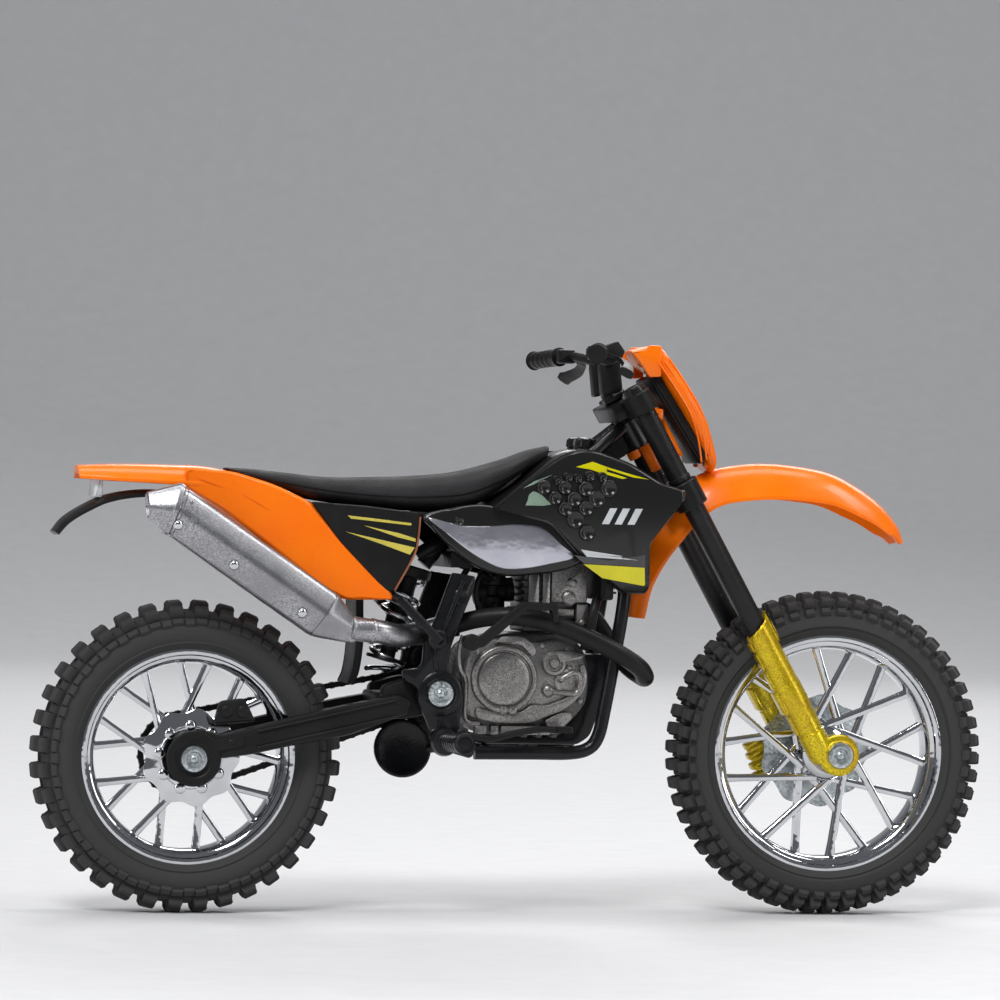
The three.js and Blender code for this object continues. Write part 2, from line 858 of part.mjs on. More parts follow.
const rightPeg = footpeg();
add(chassis, "footpeg_right", rightPeg, MATERIAL.frame);
add(chassis, "footpeg_left", mirrored(rightPeg), MATERIAL.frame);

// ---------- Shock: the spring stands on the swingarm yoke and leans forward to the frame ----------
const SHOCK_FOOT = [-17.9, 29.4];
const SHOCK_HEAD = [-14.7, 42.9];

function shockBody() {
  const [fx, fz] = SHOCK_FOOT;
  const [hx, hz] = SHOCK_HEAD;
  const at = (t) => [fx + (hx - fx) * t, 0, fz + (hz - fz) * t];
  const rodPart = rod(at(0.16), at(1.1), 1.35, 14);
  const seatPart = rod(at(1.01), at(1.14), 2.9, 18);
  const eye = crossRod(-13.6, 45.6, -1.7, 1.7, 1.5, 14);
  const arm = box(-13.6, -10.9, -1.4, 1.4, 44.6, 46.6);
  return join(rodPart, seatPart, eye, arm);
}

function shockSpring() {
  const [fx, fz] = SHOCK_FOOT;
  const [hx, hz] = SHOCK_HEAD;
  const turns = 4.5;
  const axis = new THREE.Vector3(hx - fx, 0, hz - fz);
  const length = axis.length();
  axis.normalize();
  const forward = new THREE.Vector3(axis.z, 0, -axis.x);
  const points = [];
  const steps = Math.round(turns * 10);
  for (let i = 0; i <= steps; i++) {
    const t = i / steps;
    const angle = t * turns * 2 * Math.PI;
    const p = new THREE.Vector3(fx, 0, fz)
      .addScaledVector(axis, 0.35 + t * (length - 0.7))
      .addScaledVector(forward, 2.15 * Math.cos(angle));
    points.push([p.x, 2.15 * Math.sin(angle), p.z]);
  }
  return bar(points, 0.32, steps * 2, 3);
}

add(chassis, "shock_body", shockBody(), MATERIAL.satin);
add(chassis, "shock_spring", shockSpring(), MATERIAL.zinc);

// ---------- Swingarm ----------
const swingarm = new THREE.Group();

// The right arm: slotted at the axle, deeper towards the pivot.
function arm() {
  const [ax, az] = REAR_AXLE;
  const beam = plate(
    [
      [ax + 1.5, az + 2.0],
      [-39.6, 22.3],
      [-36.2, 22.9],
      [-22.6, 26.3],
      [-16.2, 27.5, 0.4],
      [-15.6, 25.0, 0.4],
      [-22.4, 22.4],
      [-34.0, 19.9],
      [ax + 1.5, az - 2.0],
    ],
    -ARM_Y[1],
    -ARM_Y[0],
  );
  const boss = crossRod(ax, az, -ARM_Y[1] - 0.15, -ARM_Y[0] + 0.1, 3.4, 24);
  const hole = crossRod(ax, az, -ARM_Y[1] - 2, -ARM_Y[0] + 2, AXLE_R + GAP, 20);
  return beam.add(boss).subtract(hole);
}

function yoke() {
  const [px, pz] = PIVOT;
  const block = plate(
    [
      [-20.2, 23.6],
      [-20.2, 27.0, 0.5],
      [-16.6, 28.7, 0.6],
      [px, pz + 1.9],
      [px, pz - 1.9],
    ],
    -ARM_Y[0] + GAP,
    ARM_Y[0] - GAP,
  );
  const boss = crossRod(px, pz, -PLATE_Y[0] + 0.2, PLATE_Y[0] - 0.2, 2.2, 24);
  const bore = crossRod(px, pz, -PLATE_Y[1], PLATE_Y[1], PIVOT_BORE_R, 24);
  const spring = rod([-17.9, 0, 28.0], [-17.75, 0, 29.0], 2.6, 18);
  return join(block, boss, spring).subtract(bore);
}

// Chain: one moulded loop from the rear sprocket to the swingarm pivot, on the left.
function chain() {
  const [ax, az] = REAR_AXLE;
  const [px, pz] = PIVOT;
  const loop = (rearR, frontR) => {
    const length = Math.hypot(px - ax, pz - az);
    const lean = Math.atan2(pz - az, px - ax);
    const wrap = Math.asin((rearR - frontR) / length);
    const shape = new THREE.Shape();
    shape.absarc(ax, az, rearR, lean + Math.PI / 2 - wrap, lean - Math.PI / 2 + wrap, false);
    shape.absarc(px, pz, frontR, lean - Math.PI / 2 + wrap, lean + Math.PI / 2 - wrap, false);
    shape.closePath();
    return shape;
  };
  const options = { depth: 0.85, bevelEnabled: false, curveSegments: 14 };
  const place = (shape) => {
    const geometry = new THREE.ExtrudeGeometry(shape, options);
    geometry.rotateX(Math.PI / 2);
    return solid(geometry);
  };
  const y = 5.25;
  const hole = place(loop(5.6, 2.35)).scale([1, 3, 1]).translate([0, 1, 0]);
  return place(loop(6.3, 2.9)).subtract(hole).translate([0, y, 0]);
}

const rightArm = arm();
add(swingarm, "swingarm_right", rightArm, MATERIAL.satin);
add(swingarm, "swingarm_left", mirrored(rightArm), MATERIAL.satin);
add(swingarm, "swingarm_yoke", yoke(), MATERIAL.satin);
add(swingarm, "rear_axle", rivet(...REAR_AXLE, AXLE_R, ARM_Y[1] + 0.25, ARM_Y[1] + 0.75), MATERIAL.zinc);
add(swingarm, "chain", chain(), MATERIAL.satin);
add(
  swingarm,
  "rear_caliper",
  plate(
    [
      [-39.7, 23.6],
      [-39.4, 26.4, 0.8],
      [-36.6, 27.0, 0.8],
      [-34.8, 25.4, 0.5],
      [-34.4, 23.5],
      [-37.0, 22.9],
    ],
    -6.6,
    -4.9,
  ),
  MATERIAL.satin,
);

// ---------- Rear wheel, about its axle ----------
const rearWheel = new THREE.Group();
rearWheel.position.set(REAR_AXLE[0], 0, REAR_AXLE[1]);
add(rearWheel, "rear_tyre", tyre(REAR_TYRE), MATERIAL.tyre);
add(rearWheel, "rear_rim", rim(REAR_TYRE, REAR_LACING, 4.7), MATERIAL.chrome);
add(rearWheel, "rear_brake_disc", brakeDisc(6.1, -4.6, -4.2, 9), MATERIAL.chrome);
add(rearWheel, "rear_sprocket", brakeDisc(5.2, 4.35, 4.95, 12), MATERIAL.chrome);

// ---------- Steering, about the steering axis ----------
const steering = new THREE.Group();
steering.position.set(STEER_POINT[0], 0, STEER_POINT[1]);
steering.rotation.y = -RAKE;

// Places a solid drawn in the machine's own frame into the steering frame.
function toSteering(body) {
  const place = new THREE.Matrix4()
    .makeRotationY(-RAKE)
    .setPosition(STEER_POINT[0], 0, STEER_POINT[1])
    .invert();
  return body.transform(place.elements);
}

// A clamp: a bridge between two bosses that hold the fork tubes.
function clamp([low, high], bossR, bridgeY) {
  const bosses = [-1, 1].map((side) =>
    rod([FORK.ahead, side * FORK.y, low], [FORK.ahead, side * FORK.y, high], bossR, 18),
  );
  const bridge = box(-1.9, FORK.ahead + 0.9, -bridgeY, bridgeY, low, high);
  const tubeHoles = [-1, 1].map((side) =>
    rod([FORK.ahead, side * FORK.y, low - 1], [FORK.ahead, side * FORK.y, high + 1], FORK.tubeR + 0.06, 16),
  );
  return tubeHoles.reduce((left, hole) => left.subtract(hole), join(bridge, ...bosses));
}

function forkTube(side) {
  const y = side * FORK.y;
  return rod([FORK.ahead, y, TUBE_END], [FORK.ahead, y, FORK_TOP], FORK.tubeR, 16);
}

const stemHole = rod([0, 0, LOWER_CLAMP[0] - 1], [0, 0, UPPER_CLAMP[1] + 1], STEM_R + 0.06, 18);
const risers = join(
  ...[-1, 1].map((side) => rod([0.2, side * 2.7, UPPER_CLAMP[1] - 0.5], [0.4, side * 2.7, 20.9], 0.95, 10)),
);
add(steering, "triple_clamp_lower", clamp(LOWER_CLAMP, 1.9, 5.6).subtract(stemHole), MATERIAL.satin);
const upperClamp = clamp(UPPER_CLAMP, 1.95, 5.6).subtract(stemHole).add(risers);
add(steering, "triple_clamp_upper", upperClamp, MATERIAL.satin);
add(
  steering,
  "steering_stem",
  join(
    rod([0, 0, LOWER_CLAMP[0]], [0, 0, UPPER_CLAMP[1] + 0.4], STEM_R, 18),
    rod([0, 0, COLLAR[0]], [0, 0, COLLAR[1]], 1.9, 18),
  ),
  MATERIAL.orange,
);
add(steering, "fork_tube_right", forkTube(-1), MATERIAL.satin);
add(steering, "fork_tube_left", forkTube(1), MATERIAL.satin);

// Handlebar in the machine's frame: level over the clamps, up at the bends, then back along the grips.
function handlebar() {
  const half = (side) => {
    const tube = bar(
      [
        [9.5, 0, 69.4],
        [9.5, side * 3.4, 69.4],
        [9.0, side * 5.6, 69.8],
        [7.2, side * 8.6, 70.3],
        [6.4, side * 10.6, 70.2],
      ],
      0.75,
      12,
      8,
    );
    const grip = rod([6.5, side * 10.2, 70.2], [4.5, side * GRIP_Y, 69.8], 1.1, 12);
    const perch = rod([7.0, side * 9.2, 70.3], [6.6, side * 10.4, 70.2], 1.45, 10);
    const lever = bar(
      [
        [6.8, side * 9.8, 70.2],
        [9.4, side * 10.4, 69.2],
        [9.4, side * 13.0, 68.4],
        [8.4, side * 16.6, 67.6],
      ],
      0.5,
      8,
      6,
    );
    return join(tube, grip, perch, lever);
  };
  const blocks = [-1, 1].map((side) => box(8.3, 10.9, side * 2.7 - 1.1, side * 2.7 + 1.1, 68.6, 70.6));
  return join(half(1), half(-1), ...blocks);
}
add(steering, "handlebar", toSteering(handlebar()).subtract(risers), MATERIAL.satin);

// Headlight cowl in the machine's frame: a bowed front with two side wings.
function cowl() {
  const front = plate(
    [
      [14.8, 71.6, 0.4],
      [16.6, 71.8, 0.4],
      [20.6, 66.4],
      [23.4, 61.6, 1],
      [24.5, 57.4, 0.5],
      [23.6, 56.2, 0.4],
      [22.4, 57.0],
      [20.9, 61.3],
      [16.9, 68.0],
    ],
    -4.6,
    4.6,
  );
  const wing = plate(
    [
      [12.6, 70.8, 0.4],
      [15.2, 71.4],
      [17.4, 67.6],
      [21.4, 61.0],
      [22.6, 57.4],
      [21.6, 57.4],
      [18.6, 63.6],
      [16.0, 67.8],
      [14.4, 68.8],
    ],
    -5.2,
    -4.1,
  );
  return join(front, wing, mirrored(wing));
}
add(steering, "headlight_cowl", toSteering(cowl()), MATERIAL.orange);
const backing = plate(
  [
    [14.9, 66.9],
    [16.3, 67.6],
    [20.6, 60.6],
    [22.0, 57.6],
    [21.2, 56.8],
    [19.9, 58.0],
  ],
  -3.9,
  3.9,
);
add(steering, "headlight_backing", toSteering(backing), MATERIAL.satin);

// Front fender: an arch over the tyre with a tail that drops behind the fork.
function frontFender() {
  const arch = plate(
    [
      [20.6, 55.0],
      [23.0, 56.3, 1],
      [33.2, 56.8, 3],
      [39.8, 55.8, 3],
      [45.2, 52.9, 2],
      [49.2, 48.9, 0.6],
      [48.8, 47.1, 0.6],
      [44.0, 49.8, 1],
      [38.9, 52.7, 1],
      [30.7, 52.7, 3],
      [26.8, 51.9],
      [22.6, 50.2],
      [21.6, 52.6],
    ],
    -4.1,
    4.1,
  );
  const tail = plate(
    [
      [22.8, 50.2],
      [20.3, 50.6],
      [17.3, 47.8, 3],
      [15.2, 44.0, 3],
      [14.1, 38.9],
      [13.6, 37.4, 0.4],
      [12.3, 37.4, 0.4],
      [12.7, 41.4, 2],
      [14.2, 45.6, 3],
      [16.6, 49.4],
      [19.2, 51.7],
      [22.6, 52.6],
    ],
    -2.9,
    2.9,
  );
  const clampRoom = toWorld(clampBlock());
  return join(arch, tail).subtract(clampRoom);
}

// The space the lower clamp and both fork tubes need, in the steering frame.
function clampBlock() {
  const bridge = box(-2.1, FORK.ahead + 1.1, -5.8, 5.8, LOWER_CLAMP[0] - GAP, LOWER_CLAMP[1] + 0.2);
  const tubes = [-1, 1].map((side) =>
    rod([FORK.ahead, side * FORK.y, TUBE_END], [FORK.ahead, side * FORK.y, FORK_TOP], 2.1, 16),
  );
  return join(bridge, ...tubes);
}

function toWorld(body) {
  const place = new THREE.Matrix4().makeRotationY(-RAKE).setPosition(STEER_POINT[0], 0, STEER_POINT[1]);
  return body.transform(place.elements);
}
add(steering, "front_fender", toSteering(frontFender()), MATERIAL.orange);

// ---------- Fork sliders, in the steering frame ----------
const sliders = new THREE.Group();
const toAxle = new THREE.Vector3(FRONT_AXLE[0] - STEER_POINT[0], 0, FRONT_AXLE[1] - STEER_POINT[1])
  .applyAxisAngle(new THREE.Vector3(0, 1, 0), RAKE);

function slider(side) {
  const y = side * FORK.y;
  const barrel = rod([FORK.ahead, y, toAxle.z + 1.5], [FORK.ahead, y, SLIDER_TOP], FORK.sliderR, 18);
  const guard = box(-0.9, FORK.ahead, y - 0.9, y + 0.9, -31, -16);
  const boss = crossRod(toAxle.x, toAxle.z, y - 1.6, y + 1.6, 2.6, 24);
  const root = box(0.4, toAxle.x + 1.2, y - 1.3, y + 1.3, toAxle.z, toAxle.z + 3.6);
  const bore = rod([FORK.ahead, y, SLIDER_BORE_END], [FORK.ahead, y, SLIDER_TOP + 1], FORK.boreR, 16);
  const hole = crossRod(toAxle.x, toAxle.z, y - 3, y + 3, AXLE_R + GAP, 20);
  return join(barrel, guard, boss, root).subtract(bore).subtract(hole);
}

// The brake caliper is moulded on the left slider, behind the disc.
function caliper() {
  const body = box(-5.2, 0.6, 4.5, 6.6, -35.0, -30.0);
  const bracket = box(-2.6, 0.8, 4.7, 6.4, -31.0, -25.6);
  return body.add(bracket);
}
add(sliders, "fork_slider_right", slider(-1), MATERIAL.gold);
add(sliders, "fork_slider_left", slider(1).add(caliper()), MATERIAL.gold);
add(sliders, "front_axle", rivet(toAxle.x, toAxle.z, AXLE_R, FORK.y + 1.7, FORK.y + 2.2), MATERIAL.zinc);

// ---------- Front wheel, about its axle ----------
const frontWheel = new THREE.Group();
frontWheel.position.copy(toAxle);
add(frontWheel, "front_tyre", tyre(FRONT_TYRE), MATERIAL.tyre);
add(frontWheel, "front_rim", rim(FRONT_TYRE, FRONT_LACING, 4.2), MATERIAL.chrome);
add(frontWheel, "front_brake_disc", brakeDisc(7.3, 3.65, 4.05, 9), MATERIAL.chrome);

// ---------- Side stand, folded back under the engine ----------
const stand = new THREE.Group();
const STAND_PIVOT = [1.7, 3.9, 20.7];
const STAND_FOOT = [-13.3, 3.4, 20.2];
const STAND_TILT = THREE.MathUtils.degToRad(25); // the hinge leans, so the foot swings out as it drops
const standHinge = (along) => [
  STAND_PIVOT[0],
  STAND_PIVOT[1] + along * Math.cos(STAND_TILT),
  STAND_PIVOT[2] + along * Math.sin(STAND_TILT),
];
add(
  stand,
  "side_stand",
  join(
    rod(standHinge(-0.8), standHinge(0.8), 1.1, 16),
    rod(STAND_PIVOT, STAND_FOOT, 0.65, 10),
    crossRod(STAND_FOOT[0], STAND_FOOT[2], 2.9, 3.9, 3.7, 24),
  ),
  MATERIAL.frame,
);

// ---------- Assembly ----------
const motorcycle = new THREE.Group();
sliders.add(frontWheel);
steering.add(sliders);
swingarm.add(rearWheel);
motorcycle.add(chassis, swingarm, steering, stand);
motorcycle.position.x = CENTRE_SHIFT;

export default motorcycle;
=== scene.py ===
"""Looks of a 1:18 toy off-road motorcycle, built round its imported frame.

Shapes are worked out in millimetres in the drawing's own frame: +X forward, +Y to the
rider's left, +Z up. `Shape.make` turns them into metres in the model's frame.
"""

import logging
import math
from collections.abc import Callable, Iterable, Sequence
from dataclasses import dataclass
from enum import Enum

import bpy
import numpy as np
from mathutils import Matrix, Vector

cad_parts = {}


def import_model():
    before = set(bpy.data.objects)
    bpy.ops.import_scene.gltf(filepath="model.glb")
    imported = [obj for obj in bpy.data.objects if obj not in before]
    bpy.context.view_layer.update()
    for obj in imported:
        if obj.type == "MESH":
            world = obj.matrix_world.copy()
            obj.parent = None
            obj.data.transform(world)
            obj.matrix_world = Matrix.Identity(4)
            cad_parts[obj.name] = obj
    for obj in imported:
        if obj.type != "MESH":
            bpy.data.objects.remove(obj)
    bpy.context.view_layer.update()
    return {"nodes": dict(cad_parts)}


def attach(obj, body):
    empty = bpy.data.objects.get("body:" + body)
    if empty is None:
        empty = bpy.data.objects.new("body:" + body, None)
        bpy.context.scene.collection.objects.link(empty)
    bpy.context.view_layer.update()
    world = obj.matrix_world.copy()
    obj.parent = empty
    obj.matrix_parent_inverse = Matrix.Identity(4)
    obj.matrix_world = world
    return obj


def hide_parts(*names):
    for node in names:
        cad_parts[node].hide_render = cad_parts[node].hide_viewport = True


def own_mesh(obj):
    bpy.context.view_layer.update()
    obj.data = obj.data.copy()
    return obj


log = logging.getLogger("motorcycle")

Row = Sequence[float]
Outline = Sequence[Row]
Face = Callable[[np.ndarray, np.ndarray], np.ndarray]

MM = 0.001
CENTRE_SHIFT = 0.775  # mm from the drawing's origin to the model's, along x
RAKE = math.radians(29.5)
STEER_POINT = np.array([19.59, 0.0, 49.46])  # on the steering axis
FORK_AHEAD = 1.5  # mm from the steering axis to the fork tubes
FORK_Y = 6.0
REAR_AXLE = (-42.4, 19.25)
FRONT_AXLE = (39.6, 20.5)
PIVOT = (-11.9, 27.6)
RIGHT = (0, -1, 0)  # directions, UP being along the steering axis for a shape that `from_fork` places
LEFT = (0, 1, 0)
UP = (0, 0, 1)


class Body(Enum):
    """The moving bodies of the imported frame."""

    CHASSIS = "chassis"
    SWINGARM = "swingarm"
    REAR_WHEEL = "rear_wheel"
    STEERING = "steering"
    SLIDERS = "fork_sliders"
    FRONT_WHEEL = "front_wheel"
    STAND = "side_stand"


class Grain(Enum):
    """How a surface breaks up the light: the noise that its bump comes from."""

    SMOOTH = "smooth"
    FINE = "fine"
    PEBBLED = "pebbled"
    FLAKE = "grit"


# ------------ finishes


Tree = bpy.types.NodeTree
Node = bpy.types.Node
Socket = bpy.types.NodeSocket

COLOUR = "NodeSocketColor"
NUMBER = "NodeSocketFloat"
NOISE_SPAN = (0.3, 0.7)  # nearly all values of a noise texture lie between these
DUST_TINT = (0.42, 0.4, 0.37, 1.0)
TONE_SCALE = 160.0
ROUGH_SCALE = 260.0
COAT_ROUGH = 0.06
FLAKE_DARK = 0.45  # the darkest and lightest flakes against the paint's colour
FLAKE_LIGHT = 1.75


def new_group(
    name: str, inputs: Sequence[tuple[str, str, float]], outputs: Sequence[tuple[str, str]]
) -> tuple[Tree, Node, Node]:
    """Starts a shader node group.

    Args:
        name: the group's name.
        inputs: (socket name, socket type, default) for each input; a colour has no default.
        outputs: (socket name, socket type) for each output.

    Returns:
        The node tree, its input node and its output node.
    """
    tree = bpy.data.node_groups.new(name, "ShaderNodeTree")
    for label, kind, default in inputs:
        socket = tree.interface.new_socket(label, in_out="INPUT", socket_type=kind)
        if kind == NUMBER:
            socket.default_value = default
    for label, kind in outputs:
        tree.interface.new_socket(label, in_out="OUTPUT", socket_type=kind)
    return tree, tree.nodes.new("NodeGroupInput"), tree.nodes.new("NodeGroupOutput")


def place(tree: Tree, kind: str, feeds: dict[int | str, Socket | float], **settings: str) -> Node:
    """Adds a shader node and feeds its inputs.

    Args:
        tree: the node tree.
        kind: the node's type after "ShaderNode".
        feeds: for each input, by name or number, the socket that feeds it or its constant.
        settings: the node's own options, such as its operation.

    Returns:
        The node.
    """
    node = tree.nodes.new("ShaderNode" + kind)
    for option, value in settings.items():
        setattr(node, option, value)
    for key, feed in feeds.items():
        if isinstance(feed, Socket):
            tree.links.new(feed, node.inputs[key])
        else:
            node.inputs[key].default_value = feed
    return node


def object_coords(tree: Tree) -> Socket:
    """The piece's own coordinates."""
    return tree.nodes.new("ShaderNodeTexCoord").outputs["Object"]


def noise(tree: Tree, scale: Socket, detail: float, roughness: float) -> Socket:
    """The value of a noise texture on object coordinates, its scale taken from a socket."""
    feeds = {"Vector": object_coords(tree), "Scale": scale, "Detail": detail, "Roughness": roughness}
    return place(tree, "TexNoise", feeds).outputs["Fac"]


def spread(tree: Tree, value: Socket, low: Socket | float, high: Socket | float) -> Socket:
    """Maps a noise value on to the range between two sockets or numbers."""
    feeds = {"Value": value, "From Min": NOISE_SPAN[0], "From Max": NOISE_SPAN[1], "To Min": low, "To Max": high}
    return place(tree, "MapRange", feeds).outputs["Result"]


def colour_mix(tree: Tree, share: Socket, first: Socket, second: Socket) -> Socket:
    """The second colour mixed into the first by a share from 0 to 1."""
    return place(tree, "Mix", {0: share, 6: first, 7: second}, data_type="RGBA").outputs[2]


def tone_group() -> Tree:
    """Group: two colours drifted into each other by soft noise, with a little dust on upward faces."""
    tree, given, out = new_group(
        "tone_drift",
        [("Colour", COLOUR, 0), ("Shade", COLOUR, 0), ("Dust", COLOUR, 0),
         ("Scale", NUMBER, 200.0), ("Dust Amount", NUMBER, 0.05)],
        [("Colour", COLOUR)],
    )
    amount = spread(tree, noise(tree, given.outputs["Scale"], 4.0, 0.6), 0.0, 1.0)
    drifted = colour_mix(tree, amount, given.outputs["Colour"], given.outputs["Shade"])
    normal = tree.nodes.new("ShaderNodeNewGeometry").outputs["Normal"]
    split = place(tree, "SeparateXYZ", {0: normal})
    up = place(tree, "Math", {0: split.outputs["Z"], 1: 0.0}, operation="MAXIMUM")
    speckle = place(tree, "Math", {0: up.outputs[0], 1: amount}, operation="MULTIPLY")
    share = place(tree, "Math", {0: speckle.outputs[0], 1: given.outputs["Dust Amount"]}, operation="MULTIPLY")
    tree.links.new(colour_mix(tree, share.outputs[0], drifted, given.outputs["Dust"]), out.inputs["Colour"])
    return tree


def rough_group() -> Tree:
    """Group: roughness drifting between two values in soft patches."""
    tree, given, out = new_group(
        "roughness_drift",
        [("Low", NUMBER, 0.2), ("High", NUMBER, 0.4), ("Scale", NUMBER, 300.0)],
        [("Roughness", NUMBER)],
    )
    value = noise(tree, given.outputs["Scale"], 3.0, 0.55)
    tree.links.new(spread(tree, value, given.outputs["Low"], given.outputs["High"]), out.inputs["Roughness"])
    return tree


def grain_group(grain: Grain) -> Tree:
    """Group: the height of one kind of surface grain, from 0 to 1."""
    tree, given, out = new_group(
        "grain_" + grain.value, [("Scale", NUMBER, 3000.0)], [("Height", NUMBER)]
    )
    scale = given.outputs["Scale"]
    if grain in (Grain.PEBBLED, Grain.FLAKE):
        feature = "F1" if grain is Grain.FLAKE else "SMOOTH_F1"
        feeds = {"Vector": object_coords(tree), "Scale": scale}
        height = place(tree, "TexVoronoi", feeds, feature=feature).outputs["Distance"]
    else:
        height = noise(tree, scale, 2.0 if grain is Grain.SMOOTH else 6.0, 0.6)
    tree.links.new(height, out.inputs["Height"])
    return tree


def flake_group() -> Tree:
    """Group: sparkle of metallic paint, with a tone for each tiny cell."""
    tree, given, out = new_group(
        "metal_flake",
        [("Dark", COLOUR, 0), ("Light", COLOUR, 0), ("Scale", NUMBER, 4000.0)],
        [("Colour", COLOUR)],
    )
    cells = place(tree, "TexVoronoi", {"Vector": object_coords(tree), "Scale": given.outputs["Scale"]})
    split = place(tree, "SeparateColor", {0: cells.outputs["Color"]})
    mixed = colour_mix(tree, split.outputs[0], given.outputs["Dark"], given.outputs["Light"])
    tree.links.new(mixed, out.inputs["Colour"])
    return tree


GROUPS: dict[str, Tree] = {}


def group(name: str) -> Tree:
    """One of the shared groups, built the first time that it is asked for."""
    if name not in GROUPS:
        makers = {"tone": tone_group, "rough": rough_group, "flake": flake_group}
        makers |= {g.value: (lambda g=g: grain_group(g)) for g in Grain}
        GROUPS[name] = makers[name]()
    return GROUPS[name]


def rgb(value: Row) -> tuple[float, float, float, float]:
    """A colour with full alpha."""
    return (value[0], value[1], value[2], 1.0)


@dataclass(frozen=True)
class Finish:
    """One real finish: its colours, gloss and grain, and the record's slot that it belongs to."""

    name: str
    slot: str
    colour: tuple[float, float, float]
    shade: tuple[float, float, float]
    rough: tuple[float, float]
    grain: Grain = Grain.SMOOTH
    grain_scale: float = 900.0
    grain_depth: float = 0.02
    metallic: float = 0.0
    coat: float = 0.0
    dust: float = 0.04
    flake_scale: float = 0.0
    specular: float = 0.5

    def material(self) -> bpy.types.Material:
        """Builds the material once and returns it.

        Returns:
            A Principled material fed by the shared tone, roughness, flake and grain groups.
        """
        made = bpy.data.materials.get(self.name)
        if made:
            return made
        made = bpy.data.materials.new(self.name)
        made.use_nodes = True
        tree = made.node_tree
        shader = tree.nodes["Principled BSDF"]
        shader.inputs["Metallic"].default_value = self.metallic
        shader.inputs["Specular IOR Level"].default_value = self.specular
        shader.inputs["Coat Weight"].default_value = self.coat
        shader.inputs["Coat Roughness"].default_value = COAT_ROUGH

        def use(kind: str, **values: Row | float) -> Node:
            """Places a shared group with its own input values."""
            node = tree.nodes.new("ShaderNodeGroup")
            node.node_tree = group(kind)
            for label, value in values.items():
                node.inputs[label.replace("_", " ")].default_value = value
            return node

        tone = use("tone", Colour=rgb(self.colour), Shade=rgb(self.shade), Dust=DUST_TINT,
                   Scale=TONE_SCALE, Dust_Amount=self.dust)
        if self.flake_scale:
            flake = use("flake", Dark=rgb([c * FLAKE_DARK for c in self.colour]),
                        Light=rgb([min(1.0, c * FLAKE_LIGHT) for c in self.colour]), Scale=self.flake_scale)
            tree.links.new(flake.outputs["Colour"], tone.inputs["Colour"])
        tree.links.new(tone.outputs["Colour"], shader.inputs["Base Color"])
        rough = use("rough", Low=self.rough[0], High=self.rough[1], Scale=ROUGH_SCALE)
        tree.links.new(rough.outputs["Roughness"], shader.inputs["Roughness"])
        grain = use(self.grain.value, Scale=self.grain_scale)
        bump = tree.nodes.new("ShaderNodeBump")
        bump.inputs["Strength"].default_value = 1.0
        bump.inputs["Distance"].default_value = self.grain_depth * MM
        tree.links.new(grain.outputs["Height"], bump.inputs["Height"])
        tree.links.new(bump.outputs["Normal"], shader.inputs["Normal"])
        return made


TYRE = Finish("tyre_rubber", "tyre_rubber", (0.005, 0.005, 0.005), (0.01, 0.01, 0.0095), (0.3, 0.48),
              Grain.FINE, 3600.0, 0.02, dust=0.02, specular=0.2)
CHROME = Finish("chrome_plate", "chrome", (0.66, 0.67, 0.69), (0.55, 0.56, 0.58), (0.03, 0.1),
                Grain.SMOOTH, 420.0, 0.06, metallic=1.0, dust=0.0)
ZINC = Finish("plated_rivet", "zinc", (0.5, 0.54, 0.55), (0.4, 0.44, 0.45), (0.25, 0.42),
              Grain.FINE, 2400.0, 0.03, metallic=1.0, dust=0.0, flake_scale=3600.0)
SPRING = Finish("spring_wire", "zinc", (0.7, 0.72, 0.74), (0.6, 0.62, 0.64), (0.15, 0.3),
                Grain.FINE, 1500.0, 0.01, metallic=1.0, dust=0.0)
FRAME = Finish("frame_paint", "frame_black", (0.004, 0.0043, 0.0055), (0.008, 0.0083, 0.0095), (0.22, 0.38),
               Grain.PEBBLED, 3200.0, 0.02, coat=0.05, specular=0.26, dust=0.01)
SATIN = Finish("satin_moulding", "satin_black", (0.005, 0.005, 0.0054), (0.01, 0.01, 0.0104), (0.34, 0.52),
               Grain.FINE, 4200.0, 0.02, specular=0.22, dust=0.02)
TUBE = Finish("grained_tube", "satin_black", (0.006, 0.006, 0.0064), (0.012, 0.012, 0.0124), (0.32, 0.46),
              Grain.PEBBLED, 3800.0, 0.035, specular=0.27, dust=0.02)
ENGINE = Finish("engine_paint", "engine_grey", (0.3, 0.29, 0.28), (0.2, 0.193, 0.186), (0.3, 0.46),
                Grain.FLAKE, 8000.0, 0.012, metallic=0.9, flake_scale=8000.0, dust=0.0)
# painted shade: a darker copy of the engine paint, laid on the crankcase behind the covers and on the fins between the
# side plates
ENGINE_PAINTED_SHADE = Finish("engine_paint_painted_shade", "engine_grey", (0.13, 0.126, 0.122), (0.08, 0.077, 0.074), (0.34, 0.5),
                    Grain.FLAKE, 8000.0, 0.012, metallic=0.8, flake_scale=8000.0, dust=0.0)
SILVER = Finish("silver_paint", "silver", (0.36, 0.36, 0.375), (0.28, 0.28, 0.295), (0.28, 0.4),
                Grain.FLAKE, 8000.0, 0.008, metallic=0.95, flake_scale=9000.0, dust=0.0)
INSET = Finish("silver_inset", "silver", (0.62, 0.63, 0.69), (0.46, 0.46, 0.52), (0.16, 0.28),
               Grain.SMOOTH, 420.0, 0.1, metallic=0.85, dust=0.0)
GLOSS = Finish("gloss_black", "gloss_black", (0.001, 0.001, 0.0012), (0.002, 0.002, 0.0022), (0.04, 0.09),
               Grain.SMOOTH, 300.0, 0.035, coat=0.0, dust=0.0, specular=0.2)
SEAT = Finish("seat_grain", "seat_black", (0.014, 0.014, 0.0155), (0.026, 0.026, 0.028), (0.6, 0.8),
              Grain.PEBBLED, 3000.0, 0.045, dust=0.03, specular=0.35)
ORANGE = Finish("orange_moulding", "orange", (1.0, 0.2, 0.0), (0.97, 0.165, 0.0), (0.22, 0.34),
                Grain.SMOOTH, 360.0, 0.04, coat=0.12, dust=0.0, specular=0.3)
